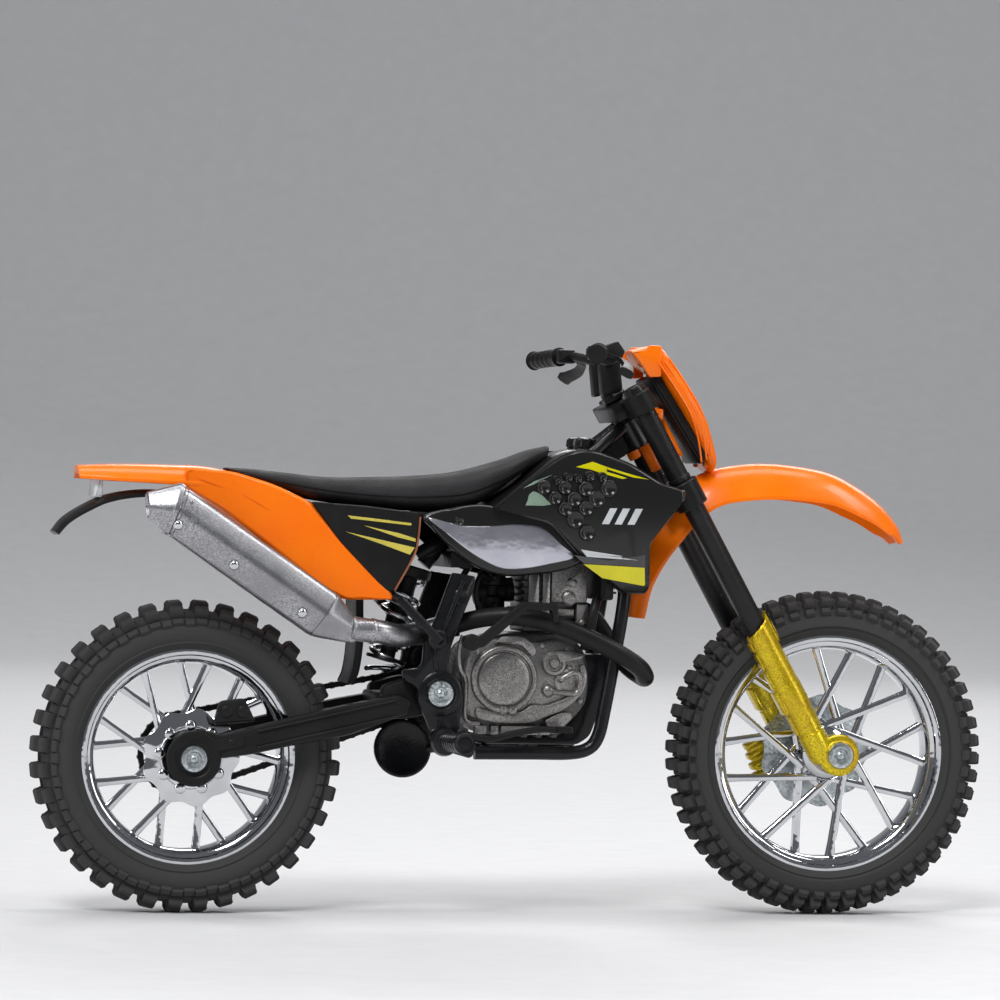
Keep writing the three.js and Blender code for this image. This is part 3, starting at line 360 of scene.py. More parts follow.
GOLD = Finish("gold_paint", "gold", (0.74, 0.48, 0.003), (0.5, 0.3, 0.002), (0.22, 0.36),
              Grain.FLAKE, 6500.0, 0.014, metallic=0.6, flake_scale=8000.0, coat=0.25, dust=0.0)
LAMP = Finish("lamp_lens", "lamp_white", (0.72, 0.75, 0.77), (0.6, 0.62, 0.64), (0.12, 0.2),
              Grain.SMOOTH, 500.0, 0.02, dust=0.0)
YELLOW = Finish("yellow_print", "gloss_black", (0.66, 0.6, 0.0), (0.5, 0.46, 0.0), (0.14, 0.24),
                Grain.FINE, 2600.0, 0.008, coat=0.2, dust=0.0)
GREY = Finish("dark_grey_print", "gloss_black", (0.03, 0.03, 0.031), (0.05, 0.05, 0.052), (0.15, 0.25),
              Grain.SMOOTH, 240.0, 0.01, coat=0.2, dust=0.0)
WHITE = Finish("pale_print", "gloss_black", (0.6, 0.62, 0.63), (0.46, 0.48, 0.49), (0.15, 0.25),
               Grain.FINE, 2200.0, 0.008, coat=0.2, dust=0.0)
# painted reflection: a sage-green patch of the surroundings mirrored in the gloss black tank side
SAGE_PAINTED_REFLECTION = Finish("sage_painted_reflection", "gloss_black", (0.26, 0.36, 0.28), (0.12, 0.17, 0.13), (0.08, 0.14),
              Grain.SMOOTH, 240.0, 0.01, coat=0.3, dust=0.0)
STRIPE = Finish("gold_print", "satin_black", (0.78, 0.66, 0.12), (0.6, 0.5, 0.08), (0.2, 0.3),
                Grain.FINE, 2200.0, 0.008, metallic=0.3, dust=0.0)
COPPER = Finish("copper_edge", "satin_black", (0.34, 0.12, 0.05), (0.24, 0.08, 0.03), (0.25, 0.4),
                Grain.FINE, 2200.0, 0.008, metallic=0.3, dust=0.0)
PAPER = Finish("paper_sweep", "none", (0.66, 0.66, 0.67), (0.63, 0.63, 0.64), (0.55, 0.7),
               Grain.FINE, 120.0, 0.02, dust=0.0)


# ------------ surfaces


def through(points: Outline, count: int) -> np.ndarray:
    """A smooth curve through rows of numbers.

    Catmull-Rom: between rows b and c, with neighbours a and d, the value at t is
    0.5 (2b + (c - a) t + (2a - 5b + 4c - d) t^2 + (3b - a - 3c + d) t^3).

    Args:
        points: the rows, of any width.
        count: how many rows to give back, evenly spaced in the parameter.

    Returns:
        An array with `count` rows.
    """
    p = np.asarray(points, float)
    padded = np.vstack([2 * p[0] - p[1], p, 2 * p[-1] - p[-2]])
    s = np.linspace(0, len(p) - 1, count)
    i = np.minimum(s.astype(int), len(p) - 2)
    t = (s - i)[:, None]
    a, b, c, d = (padded[i + k] for k in range(4))
    return 0.5 * (2 * b + (c - a) * t + (2 * a - 5 * b + 4 * c - d) * t**2 + (3 * b - a - 3 * c + d) * t**3)


def rounded(outline: Outline, steps: int = 5) -> np.ndarray:
    """An outline of (x, z) or (x, z, corner radius) rows with each radiused corner turned into a curve.

    Each corner is the quadratic (1 - t)^2 in + 2 t (1 - t) corner + t^2 out.
    """
    rows = [list(r) + [0.0] * (3 - len(r)) for r in outline]
    here = np.array([r[:2] for r in rows])
    radius = np.array([r[2] for r in rows])
    result = []
    for k, corner in enumerate(here):
        if radius[k] <= 0:
            result.append(corner[None])
            continue
        to_last, to_next = here[k - 1] - corner, here[(k + 1) % len(here)] - corner
        reach = [min(radius[k], np.linalg.norm(v) / 2) for v in (to_last, to_next)]
        start = corner + to_last / np.linalg.norm(to_last) * reach[0]
        end = corner + to_next / np.linalg.norm(to_next) * reach[1]
        t = np.linspace(0, 1, steps)[:, None]
        result.append((1 - t) ** 2 * start + 2 * t * (1 - t) * corner + t**2 * end)
    return np.vstack(result)


def smooth_closed(points: Outline, count: int) -> np.ndarray:
    """A smooth closed curve through the points, as `through` with its ends joined."""
    p = np.asarray(points, float)
    ring = np.vstack([p[-2:], p, p[:3]])
    whole = through(ring, (len(ring) - 1) * 12 + 1)[24 : 24 + 12 * len(p)]
    pick = np.linspace(0, len(whole), count, endpoint=False).astype(int)
    return whole[pick]


def inset(outline: np.ndarray, distance: float) -> np.ndarray:
    """The outline moved inwards by `distance`, each point along the mean of its two edge normals."""
    after = np.roll(outline, -1, axis=0) - outline
    area = np.sum(outline[:, 0] * np.roll(outline[:, 1], -1) - outline[:, 1] * np.roll(outline[:, 0], -1))
    normal = np.stack([-after[:, 1], after[:, 0]], 1) * np.sign(area)
    normal /= np.maximum(np.linalg.norm(normal, axis=1, keepdims=True), 1e-9)
    mean = normal + np.roll(normal, 1, axis=0)
    size = np.maximum(np.linalg.norm(mean, axis=1, keepdims=True), 0.7)
    return outline + mean / size * distance * np.minimum(2 / size, 1.4)


def circle(count: int) -> np.ndarray:
    """Angles at even steps round a circle."""
    return np.linspace(0, 2 * math.pi, count, endpoint=False)


def unit(vector: Row) -> np.ndarray:
    """The vector at length one."""
    v = np.asarray(vector, float)
    return v / np.linalg.norm(v)


def from_fork(points: np.ndarray) -> np.ndarray:
    """Points given as (ahead, y, along the steering axis) in the drawing's frame."""
    c, s = math.cos(RAKE), math.sin(RAKE)
    ahead, side, along = points[..., 0], points[..., 1], points[..., 2]
    turned = np.stack([ahead * c - along * s, side, ahead * s + along * c], -1)
    return turned + STEER_POINT


class Shape:
    """Closed surfaces gathered into one piece, in millimetres in the drawing's frame."""

    def __init__(self) -> None:
        """Starts empty."""
        self.points: list[np.ndarray] = []
        self.quads: list[np.ndarray] = []
        self.ngons: list[list[int]] = []
        self.count = 0

    def add(self, points: np.ndarray, quads: np.ndarray, ngons: Iterable[Sequence[int]] = ()) -> "Shape":
        """Adds one closed surface, turned to face outwards by the sign of its volume."""
        points = np.asarray(points, float).reshape(-1, 3)
        quads = np.asarray(quads, int).reshape(-1, 4)
        ngons = [list(n) for n in ngons]
        fans = [(n[0], n[i], n[i + 1]) for n in ngons for i in range(1, len(n) - 1)]
        triangles = np.vstack([quads[:, [0, 1, 2]], quads[:, [0, 2, 3]], np.array(fans, int).reshape(-1, 3)])
        a, b, c = (points[triangles[:, k]] for k in range(3))
        if np.einsum("ij,ij->i", a, np.cross(b, c)).sum() < 0:
            quads = quads[:, ::-1]
            ngons = [n[::-1] for n in ngons]
        self.points.append(points)
        self.quads.append(quads + self.count)
        self.ngons += [[i + self.count for i in n] for n in ngons]
        self.count += len(points)
        return self

    def loft(self, rings: np.ndarray, wrap: bool = False) -> "Shape":
        """Joins rings of equally many points, capped at both ends, or end to end if `wrap`."""
        m, n = rings.shape[:2]
        index = np.arange(m * n).reshape(m, n)
        low = index if wrap else index[:-1]
        high = np.roll(index, -1, axis=0) if wrap else index[1:]
        quads = np.stack([low, np.roll(low, -1, 1), np.roll(high, -1, 1), high], -1)
        caps = [] if wrap else [index[0][::-1].tolist(), index[-1].tolist()]
        return self.add(rings, quads, caps)

    def turn(self, profile: Outline, centre: Row, axis: Row, count: int = 48, closed: bool = False) -> "Shape":
        """A surface turned about an axis.

        Args:
            profile: (radius, distance along the axis) rows.
            centre: a point on the axis.
            axis: the axis direction.
            count: steps round the circle.
            closed: whether the profile closes on itself, as a ring does.
        """
        rows = np.asarray(profile, float)
        along = unit(axis)
        side = unit(np.cross(along, [0.3, 0.2, 1.0] if abs(along[2]) < 0.9 else [1.0, 0.0, 0.0]))
        other = np.cross(along, side)
        angle = circle(count)
        radial = np.cos(angle)[:, None] * side + np.sin(angle)[:, None] * other
        radius = np.maximum(rows[:, 0], 0.002)
        rings = np.asarray(centre, float) + rows[:, 1][:, None, None] * along + radius[:, None, None] * radial
        return self.loft(rings, wrap=closed)

    def bar(self, path: Outline, radius: float | Row, sides: int = 16, section: Outline | None = None) -> "Shape":
        """A bar along a path, its frame carried along without twist.

        Args:
            path: the centre line.
            radius: one radius, or one for each point of the path.
            sides: points round a round section.
            section: (across, up) rows of a section that isn't round, for a radius of one.
        """
        p = np.asarray(path, float)
        size = np.broadcast_to(np.asarray(radius, float), (len(p),))
        tangent = np.gradient(p, axis=0)
        tangent /= np.linalg.norm(tangent, axis=1, keepdims=True)
        normals = [unit(np.cross(tangent[0], [0.02, 1.0, 0.03] if abs(tangent[0][1]) < 0.95 else [0, 0, 1.0]))]
        for t in tangent[1:]:
            normals.append(unit(normals[-1] - np.dot(normals[-1], t) * t))
        n = np.array(normals)
        b = np.cross(tangent, n)
        if section is None:
            angle = circle(sides)
            ring = np.stack([np.cos(angle), np.sin(angle)], 1)
        else:
            ring = np.asarray(section, float)
        across = ring[None, :, :1] * b[:, None] + ring[None, :, 1:] * n[:, None]
        rings = p[:, None] + size[:, None, None] * across
        return self.loft(rings)

    def plate(self, outline: Outline, y0: float, y1: float, edge: float = 0.12) -> "Shape":
        """A flat plate between y0 and y1 with quarter-round edges.

        Its rings are the outline inset by edge (1 - sin a) at depth edge (1 - cos a), for a from 0 to 90 degrees.
        """
        flat = rounded(outline)
        edge = min(edge, abs(y1 - y0) / 2.2)
        a = np.radians([0.0, 45.0, 90.0])
        lower = [(edge * (1 - math.sin(t)), min(y0, y1) + edge * (1 - math.cos(t))) for t in a]
        upper = [(e, y0 + y1 - y) for e, y in reversed(lower)]
        rings = []
        for distance, y in lower + upper:
            ring = inset(flat, distance)
            rings.append(np.stack([ring[:, 0], np.full(len(ring), y), ring[:, 1]], 1))
        return self.loft(np.array(rings))

    def block(self, x: Row, y: Row, z: Row, edge: float = 0.15) -> "Shape":
        """A block with softened edges between two values on each axis."""
        r = min(edge, abs(x[1] - x[0]) / 3, abs(z[1] - z[0]) / 3)
        corners = [(x[0], z[0], r), (x[1], z[0], r), (x[1], z[1], r), (x[0], z[1], r)]
        return self.plate(corners, y[0], y[1], edge)

    def skin(self, outline: Outline, spine: Outline, face: Face, thickness: float, rings: int = 9,
             edge: float = 0.15) -> "Shape":
        """A curved panel drawn in from its outline towards a spine.

        The point at outline parameter s and depth t is foot(s) + (outline(s) - foot(s)) (1 - t), where foot is the
        nearest point of the spine; its y is face(x, z), and the inner side lies `thickness` nearer the middle plane.

        Args:
            outline: the side-view outline, (x, z) or (x, z, corner radius) rows.
            spine: a line of (x, z) rows along the middle of the outline.
            face: gives y for arrays of x and z.
            thickness: the wall's thickness along y.
            rings: steps from the rim to the spine.
            edge: how far the rim is rounded over.
        """
        flat = rounded(outline)
        gaps = np.linalg.norm(np.roll(flat, -1, 0) - flat, axis=1)
        parts = np.maximum((gaps / 0.9).astype(int), 1)
        flat = np.vstack([flat[k] + (flat[(k + 1) % len(flat)] - flat[k]) * np.arange(n)[:, None] / n
                          for k, n in enumerate(parts)])
        line = np.asarray(spine, float)
        run = line[1:] - line[:-1]
        t = np.einsum("ijk,jk->ij", flat[:, None] - line[:-1], run) / np.einsum("jk,jk->j", run, run)
        feet = line[:-1] + np.clip(t, 0, 1)[..., None] * run
        nearest = np.argmin(np.linalg.norm(feet - flat[:, None], axis=2), axis=1)
        foot = feet[np.arange(len(flat)), nearest]
        depth = np.concatenate([[0.0, 0.0], np.linspace(0, 0.985, rings)[1:]])
        plan = foot + (flat - foot) * (1 - depth[:, None, None])
        rim = flat - foot
        size = np.maximum(np.linalg.norm(rim, axis=1, keepdims=True), 1e-6)
        plan[1] = flat - rim / size * np.minimum(edge, size * 0.4)
        y = face(plan[..., 0], plan[..., 1])
        inward = -np.sign(np.mean(y))
        under = y[0] + inward * thickness
        y[0] += inward * min(edge, thickness * 0.5)
        top = np.stack([plan[..., 0], y, plan[..., 1]], -1)
        low = np.stack([flat[:, 0], under, flat[:, 1]], 1)
        inner = np.stack([plan[-1, :, 0], face(plan[-1, :, 0], plan[-1, :, 1]) + inward * thickness, plan[-1, :, 1]], 1)
        return self.loft(np.concatenate([inner[None], low[None], top]))

    def hull(self, stations: Outline, count: int, sides: int, power: float, ends: float) -> "Shape":
        """A body through upright oval sections.

        A section of station (xt, zt, xb, zb, w) with top T and bottom B is
        (T + B) / 2 + (T - B) / 2 |sin|^(2/p) + w |cos|^(2/p), signs kept, and the body's ends are rounded over.

        Args:
            stations: (x top, z top, x bottom, z bottom, half width) rows.
            count: sections along the body.
            sides: points round a section.
            power: p above, 2 for an ellipse and more for a squarer section.
            ends: how far the ends are rounded over.
        """
        s = through(stations, count)
        angle = circle(sides)
        squash = 2.0 / power
        c = np.sign(np.cos(angle)) * np.abs(np.cos(angle)) ** squash
        u = np.sign(np.sin(angle)) * np.abs(np.sin(angle)) ** squash
        top = np.stack([s[:, 0], np.zeros(count), s[:, 1]], 1)
        low = np.stack([s[:, 2], np.zeros(count), s[:, 3]], 1)
        middle, half = (top + low) / 2, (top - low) / 2
        across = np.stack([np.zeros(count), s[:, 4], np.zeros(count)], 1)
        rings = middle[:, None] + half[:, None] * u[None, :, None] + across[:, None] * c[None, :, None]
        shrink = np.array([0.55, 0.8, 0.94])
        first, last = rings[0], rings[-1]
        back = unit(first.mean(0) - rings[1].mean(0))
        forth = unit(last.mean(0) - rings[-2].mean(0))
        start = [first.mean(0) + (first - first.mean(0)) * k + back * ends * (1 - k**3) for k in shrink]
        end = [last.mean(0) + (last - last.mean(0)) * k + forth * ends * (1 - k**3) for k in shrink[::-1]]
        rings = np.concatenate([np.array(start), rings, np.array(end)])
        return self.loft(rings)

    def arch(self, path: Outline, half_width: Row, drop: Row, thickness: float, count: int = 48,
             power: float = 3.0, ridge: float = 0.0) -> "Shape":
        """A mudguard: a thin wall along a path, turned down at both sides.

        Its outer face is path + y - n drop |y / w|^power + n ridge (1 - |y / w|)^2, with n the path's upward normal.

        Args:
            path: (x, z) rows along the crown.
            half_width: half widths at even steps along the path.
            drop: how far the sides turn down, at the same steps.
            thickness: the wall.
            count: sections along the path.
            power: how late the sides turn down.
            ridge: the height of a soft crease along the crown.
        """
        line = through(path, count)
        tangent = np.gradient(line, axis=0)
        tangent /= np.linalg.norm(tangent, axis=1, keepdims=True)
        normal = np.stack([-tangent[:, 1], tangent[:, 0]], 1)
        steps = np.linspace(0, 1, count)
        w = np.interp(steps, np.linspace(0, 1, len(half_width)), half_width)
        d = np.interp(steps, np.linspace(0, 1, len(drop)), drop)
        v = np.sin(np.linspace(-math.pi / 2, math.pi / 2, 19))
        depth = d[:, None] * np.abs(v) ** power - ridge * (1 - np.abs(v)) ** 2
        wall = thickness * (1 - 0.55 * np.abs(v) ** 8)
        over = line[:, None] - normal[:, None] * depth[..., None]
        under = line[:, None] - normal[:, None] * (depth + wall)[..., None]
        y = w[:, None] * v
        outer = np.stack([over[..., 0], y, over[..., 1]], -1)
        inner = np.stack([under[..., 0], y * 0.985, under[..., 1]], -1)
        return self.loft(np.concatenate([outer, inner[:, ::-1]], 1))

    def bolt(self, at: Row, axis: Row, radius: float, height: float, count: int = 20) -> "Shape":
        """A round-headed rivet or bolt: the turned quarter circle r cos a, h sin a, on a short shank."""
        a = np.radians(np.linspace(0, 88, 6))
        dome = [(radius * math.cos(t), height * math.sin(t)) for t in a]
        return self.turn([(radius * 0.6, -0.25), (radius, -0.2), *dome], at, axis, count)

    def join(self, other: "Shape") -> "Shape":
        """Takes in another shape's surfaces."""
        self.points += other.points
        self.quads += [q + self.count for q in other.quads]
        self.ngons += [[i + self.count for i in n] for n in other.ngons]
        self.count += other.count
        return self

    def placed(self, move: Callable[[np.ndarray], np.ndarray]) -> "Shape":
        """Moves everything gathered so far by a function of the points."""
        self.points = [move(p) for p in self.points]
        return self

    def mirrored(self) -> "Shape":
        """The same piece for the other side of the machine."""
        twin = Shape()
        twin.points = [p * [1, -1, 1] for p in self.points]
        twin.quads = [q[:, ::-1] for q in self.quads]
        twin.ngons = [n[::-1] for n in self.ngons]
        twin.count = self.count
        return twin

    def make(
        self, name: str, finish: Finish, body: Body, *stands_for: str, smooth: float = 38.0
    ) -> bpy.types.Object:
        """Turns the shape into a finished object.

        Args:
            name: the piece's name.
            finish: its finish.
            body: the body that it moves with.
            stands_for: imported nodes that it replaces.
            smooth: edges sharper than this many degrees stay sharp.

        Returns:
            The object, riding on its body.
        """
        points = (np.vstack(self.points) + [CENTRE_SHIFT, 0, 0]) * MM
        faces = np.vstack(self.quads).tolist() + self.ngons
        mesh = bpy.data.meshes.new(name)
        mesh.from_pydata(points.tolist(), [], faces)
        mesh.validate()
        mesh.polygons.foreach_set("use_smooth", np.ones(len(mesh.polygons), bool))
        mesh.set_sharp_from_angle(angle=math.radians(smooth))
        mesh.materials.append(finish.material())
        piece = bpy.data.objects.new(name, mesh)
        bpy.context.scene.collection.objects.link(piece)
        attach(piece, body.value)
        if stands_for:
            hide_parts(*stands_for)
        log.info("%s: %d faces on %s", name, len(mesh.polygons), body.value)
        return piece


def both_sides(name: str, shape: Shape, finish: Finish, body: Body, *nodes: str, **options: float) -> None:
    """Makes the right-hand piece and its twin; `nodes` are stems that each have a _right and a _left node."""
    for side, part in (("right", shape), ("left", shape.mirrored())):
        part.make(f"{name}_{side}", finish, body, *[f"{n}_{side}" for n in nodes], **options)


# ------------ wheels


@dataclass(frozen=True)
class Tread:
    """A ring of tread blocks, and its twin on the other side of the tyre."""

    y: float  # place across the tyre, as a share of its half width
    depth: float  # how far the blocks' feet lie inside the tyre's radius
    tilt: float  # degrees from the radial direction to the side
    length: float
    width: float
    height: float
    phase: float = 0.0  # shift round the tyre, in pitches


@dataclass
class Wheel:
    """One spoked wheel with a knobbly tyre."""

    name: str
    body: Body
    axle: tuple[float, float]
    outer: float
    bead: float
    half: float
    splay: float  # degrees from a pair's own line to each landing on the rim
    cross: float  # radius at which a pair of spokes crosses
    hub_half: float
    tread: tuple[Tread, ...]
    pitches: int = 36  # blocks in a ring
    pairs: int = 9
    first: float = 0.0  # degrees, turns the lacing and tread

    def centre(self) -> np.ndarray:
        """The middle of the wheel."""
        return np.array([self.axle[0], 0.0, self.axle[1]])

    def knobs(self, shape: Shape, tread: Tread, side: int) -> None:
        """A ring of bevelled tread blocks.

        A block's corner is base + u half-length + w half-width + n height, with n tilted from the radius towards the
        side, and its top drawn in a little.

        Args:
            shape: gathers the blocks.
            tread: the ring's sizes.
            side: 1 for the rider's left and -1 for the right.
        """
        angle = (np.arange(self.pitches) + tread.phase) * 2 * math.pi / self.pitches + math.radians(self.first)
        radial = np.stack([np.cos(angle), 0 * angle, np.sin(angle)], 1)
        along = np.stack([-np.sin(angle), 0 * angle, np.cos(angle)], 1)
        across = np.array([0.0, 1.0, 0.0])
        lean = math.radians(tread.tilt) * side
        normal = radial * math.cos(lean) + across * math.sin(lean)
        width = across * math.cos(lean) - radial * math.sin(lean)
        base = self.centre() + radial * (self.outer - tread.depth) + across * (side * self.half * tread.y)
        corner = np.array([[-1, -1], [1, -1], [1, 1], [-1, 1]]) / 2 * [tread.length, tread.width]
        levels = [(1.12, -0.25), (1.0, tread.height - 0.22), (0.8, tread.height)]
        rings = [base[:, None] + along[:, None] * corner[:, :1] * k + width[:, None] * corner[:, 1:] * k
                 + normal[:, None] * h for k, h in levels]
        points = np.stack(rings, 1).reshape(len(angle), 12, 3)
        sides = [[a, (a + 1) % 4, 4 + (a + 1) % 4, 4 + a] for a in range(4)]
        upper = [[4 + a, 4 + (a + 1) % 4, 8 + (a + 1) % 4, 8 + a] for a in range(4)]
        block = np.array([*sides, *upper, [3, 2, 1, 0], [8, 9, 10, 11]])
        quads = (block[None] + 12 * np.arange(len(angle))[:, None, None]).reshape(-1, 4)
        shape.add(points.reshape(-1, 3), quads)

    def tyre(self) -> None:
        """The carcass, a turned ring with a ridge near the bead, and its rings of blocks."""
        h, r, b = self.half, self.outer, self.bead
        side = [(r - 1.5, 0.0), (r - 1.6, h * 0.45), (r - 2.3, h * 0.78), (r - 3.3, h * 0.97), (r - 4.3, h * 0.99),
                (b + 1.15, h * 0.9), (b + 0.95, h * 0.93), (b + 0.7, h * 0.88), (b + 0.3, h * 0.78),
                (b + 0.05, h * 0.7)]
        profile = [*side, (b + 0.05, 0.0), *[(x, -y) for x, y in side[:0:-1]]]
        shape = Shape()
        shape.turn(profile, self.centre(), LEFT, 96, closed=True)
        for s in (-1, 1):
            for tread in self.tread:
                self.knobs(shape, tread, s)
        shape.make(f"{self.name}_tyre_tread", TYRE, self.body, f"{self.name}_tyre", smooth=34)

    def build(self) -> None:
        """The tyre and the rim."""
        self.tyre()
        self.rim()

    def rim(self) -> None:
        """The double-lipped rim, the laced spokes, flat strips crossing in pairs, and the waisted hub."""
        b, h, lip = self.bead, self.half * 0.66, self.bead + 0.25
        inner = [(lip, h), (lip - 0.05, h + 0.25), (lip - 0.35, h + 0.36), (lip - 0.75, h + 0.22), (lip - 0.9, h - 0.1),
                 (lip - 1.3, h - 0.2), (lip - 1.6, h - 0.55), (lip - 1.85, h * 0.42)]
        profile = [*inner, *[(x, -y) for x, y in inner[::-1]], (b - 0.3, -h + 0.5), (b - 0.3, h - 0.5)]
        shape = Shape()
        shape.turn(profile, self.centre(), LEFT, 120, closed=True)
        w = self.hub_half
        hub = [(1.0, -w), (2.2, -w), (2.45, -w + 0.2), (2.5, -w * 0.72), (3.3, -w * 0.62), (3.45, -w * 0.55),
               (3.3, -w * 0.46), (2.5, -w * 0.36), (2.2, 0.0)]
        shape.turn([*hub, *[(x, -y) for x, y in hub[-2::-1]]], self.centre(), LEFT, 48, closed=True)
        landing = self.bead - 1.25
        splay = math.radians(self.splay)
        across = landing * math.sin(splay)
        slope = across / (landing * math.cos(splay) - self.cross)
        side_rows = [(0.48, 0.26), (0.4, 0.36), (0.28, 0.36), (0.2, 0.2), (-0.2, 0.2), (-0.28, 0.36), (-0.4, 0.36),
                     (-0.48, 0.26)]
        strip = np.array(side_rows + [(-w_, -h_) for w_, h_ in side_rows])
        for k in range(self.pairs):
            middle = k * 2 * math.pi / self.pairs + math.radians(self.first)
            out = np.array([math.cos(middle), 0.0, math.sin(middle)])
            aside = np.array([-math.sin(middle), 0.0, math.cos(middle)])
            for s in (-1, 1):
                root = self.centre() + out * 2.2 - aside * s * slope * (self.cross - 2.2) + [0, s * 0.12, 0]
                tip = self.centre() + out * landing * math.cos(splay) + aside * s * across + [0, s * 0.12, 0]
                steps = np.linspace(0, 1.03, 6)[:, None]
                shape.bar(root + (tip - root) * steps, [1.35, 1.25, 1.2, 1.18, 1.18, 1.4], section=strip)
        shape.make(f"{self.name}_wheel_rim", CHROME, self.body, f"{self.name}_rim", smooth=40)

    def disc(self, outer: float, y: float, side: int, lobes: int, node: str, finish: Finish) -> None:
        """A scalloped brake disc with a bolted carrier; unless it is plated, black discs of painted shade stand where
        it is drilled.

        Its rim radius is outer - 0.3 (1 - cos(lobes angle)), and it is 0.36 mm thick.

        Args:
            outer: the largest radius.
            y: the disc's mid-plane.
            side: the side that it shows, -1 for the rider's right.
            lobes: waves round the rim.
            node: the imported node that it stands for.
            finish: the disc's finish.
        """
        angle = circle(lobes * 12)
        wave = 1 - np.cos(lobes * angle)
        rows = [(outer, 1, 0.1), (outer - 0.12, 1, 0.18), (3.9, 0, 0.18), (3.75, 0, 0.42), (2.6, 0, 0.42),
                (2.5, 0, -0.18),
                (outer - 0.12, 1, -0.18), (outer, 1, -0.1)]
        rings = []
        for r, waved, off in rows:
            radius = r - 0.3 * wave * waved
            rings.append(np.stack([radius * np.cos(angle), np.full(len(angle), y + side * off), radius * np.sin(angle)],
                                  1))
        shape = Shape().loft(np.array(rings) + self.centre(), wrap=True)
        for k in range(lobes):
            a = k * 2 * math.pi / lobes + 0.2
            at = self.centre() + [outer * 0.64 * math.cos(a), y + side * 0.2, outer * 0.64 * math.sin(a)]
            shape.turn([(0.2, -0.2), (0.68, -0.1), (0.72, 0.12), (0.55, 0.32), (0.3, 0.38), (0.1, 0.38)], at,
                       (0, side, 0), 18)
        shape.make(node + "_plate", finish, self.body, node)
        if finish is CHROME:
            return
        # painted shade: black discs where the disc is drilled through, for the dark seen behind it
        painted_hole_shade = Shape()
        for k in range(lobes):
            for r, shift, size in ((outer * 0.8, 0.5, 0.45), (outer * 0.84, 0.0, 0.3)):
                a = (k + shift) * 2 * math.pi / lobes + 0.2
                at = self.centre() + [r * math.cos(a), y + side * 0.12, r * math.sin(a)]
                painted_hole_shade.turn([(size, -0.05), (size, 0.1)], at, (0, side, 0), 16)
        painted_hole_shade.make(node + "_holes", SATIN, self.body)


REAR_TREAD = (
    Tread(0.22, 1.5, 7, 1.8, 1.45, 1.48), Tread(0.58, 2.0, 27, 1.7, 1.15, 1.3),
    Tread(0.5, 2.15, 22, 1.35, 1.6, 0.8, 0.5), Tread(0.86, 2.9, 54, 1.3, 0.9, 0.6, 0.5),
    Tread(0.84, 2.75, 52, 1.55, 0.8, 0.55),
)
FRONT_TREAD = (
    Tread(0.22, 1.4, 8, 1.4, 1.3, 1.38), Tread(0.62, 1.85, 30, 1.35, 1.1, 1.15, 0.12),
    Tread(0.86, 2.6, 54, 1.25, 0.8, 0.6, 0.24), Tread(0.2, 1.7, 5, 0.6, 1.6, 0.7, 0.5),
)


def rivet_axle(name: str, x: float, z: float, half: float, finish: Finish, body: Body, node: str) -> None:
    """A bar riveted over at both ends: domed heads with a pressed ring, turned about the bar.

    Args:
        name: the piece's name.
        x: place along the machine.
        z: height.
        half: distance from the middle plane to the heads' outer faces.
        finish: the heads' finish.
        body: the body that carries it.
        node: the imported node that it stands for.
    """
    shape = Shape()
    head = [(0.95, -0.75), (1.68, -0.7), (1.7, -0.35), (1.55, -0.12), (1.15, 0.0), (0.95, -0.06), (0.78, -0.3),
            (0.55, -0.32), (0.4, -0.12), (0.2, -0.05)]
    for s in (-1, 1):
        shape.turn(head, (x, s * half, z), (0, s, 0), 40)
    shape.bar([(x, -half + 0.7, z), (x, 0, z), (x, half - 0.7, z)], 0.9, 24)
    shape.make(name, finish, body, node)


# ------------ front end


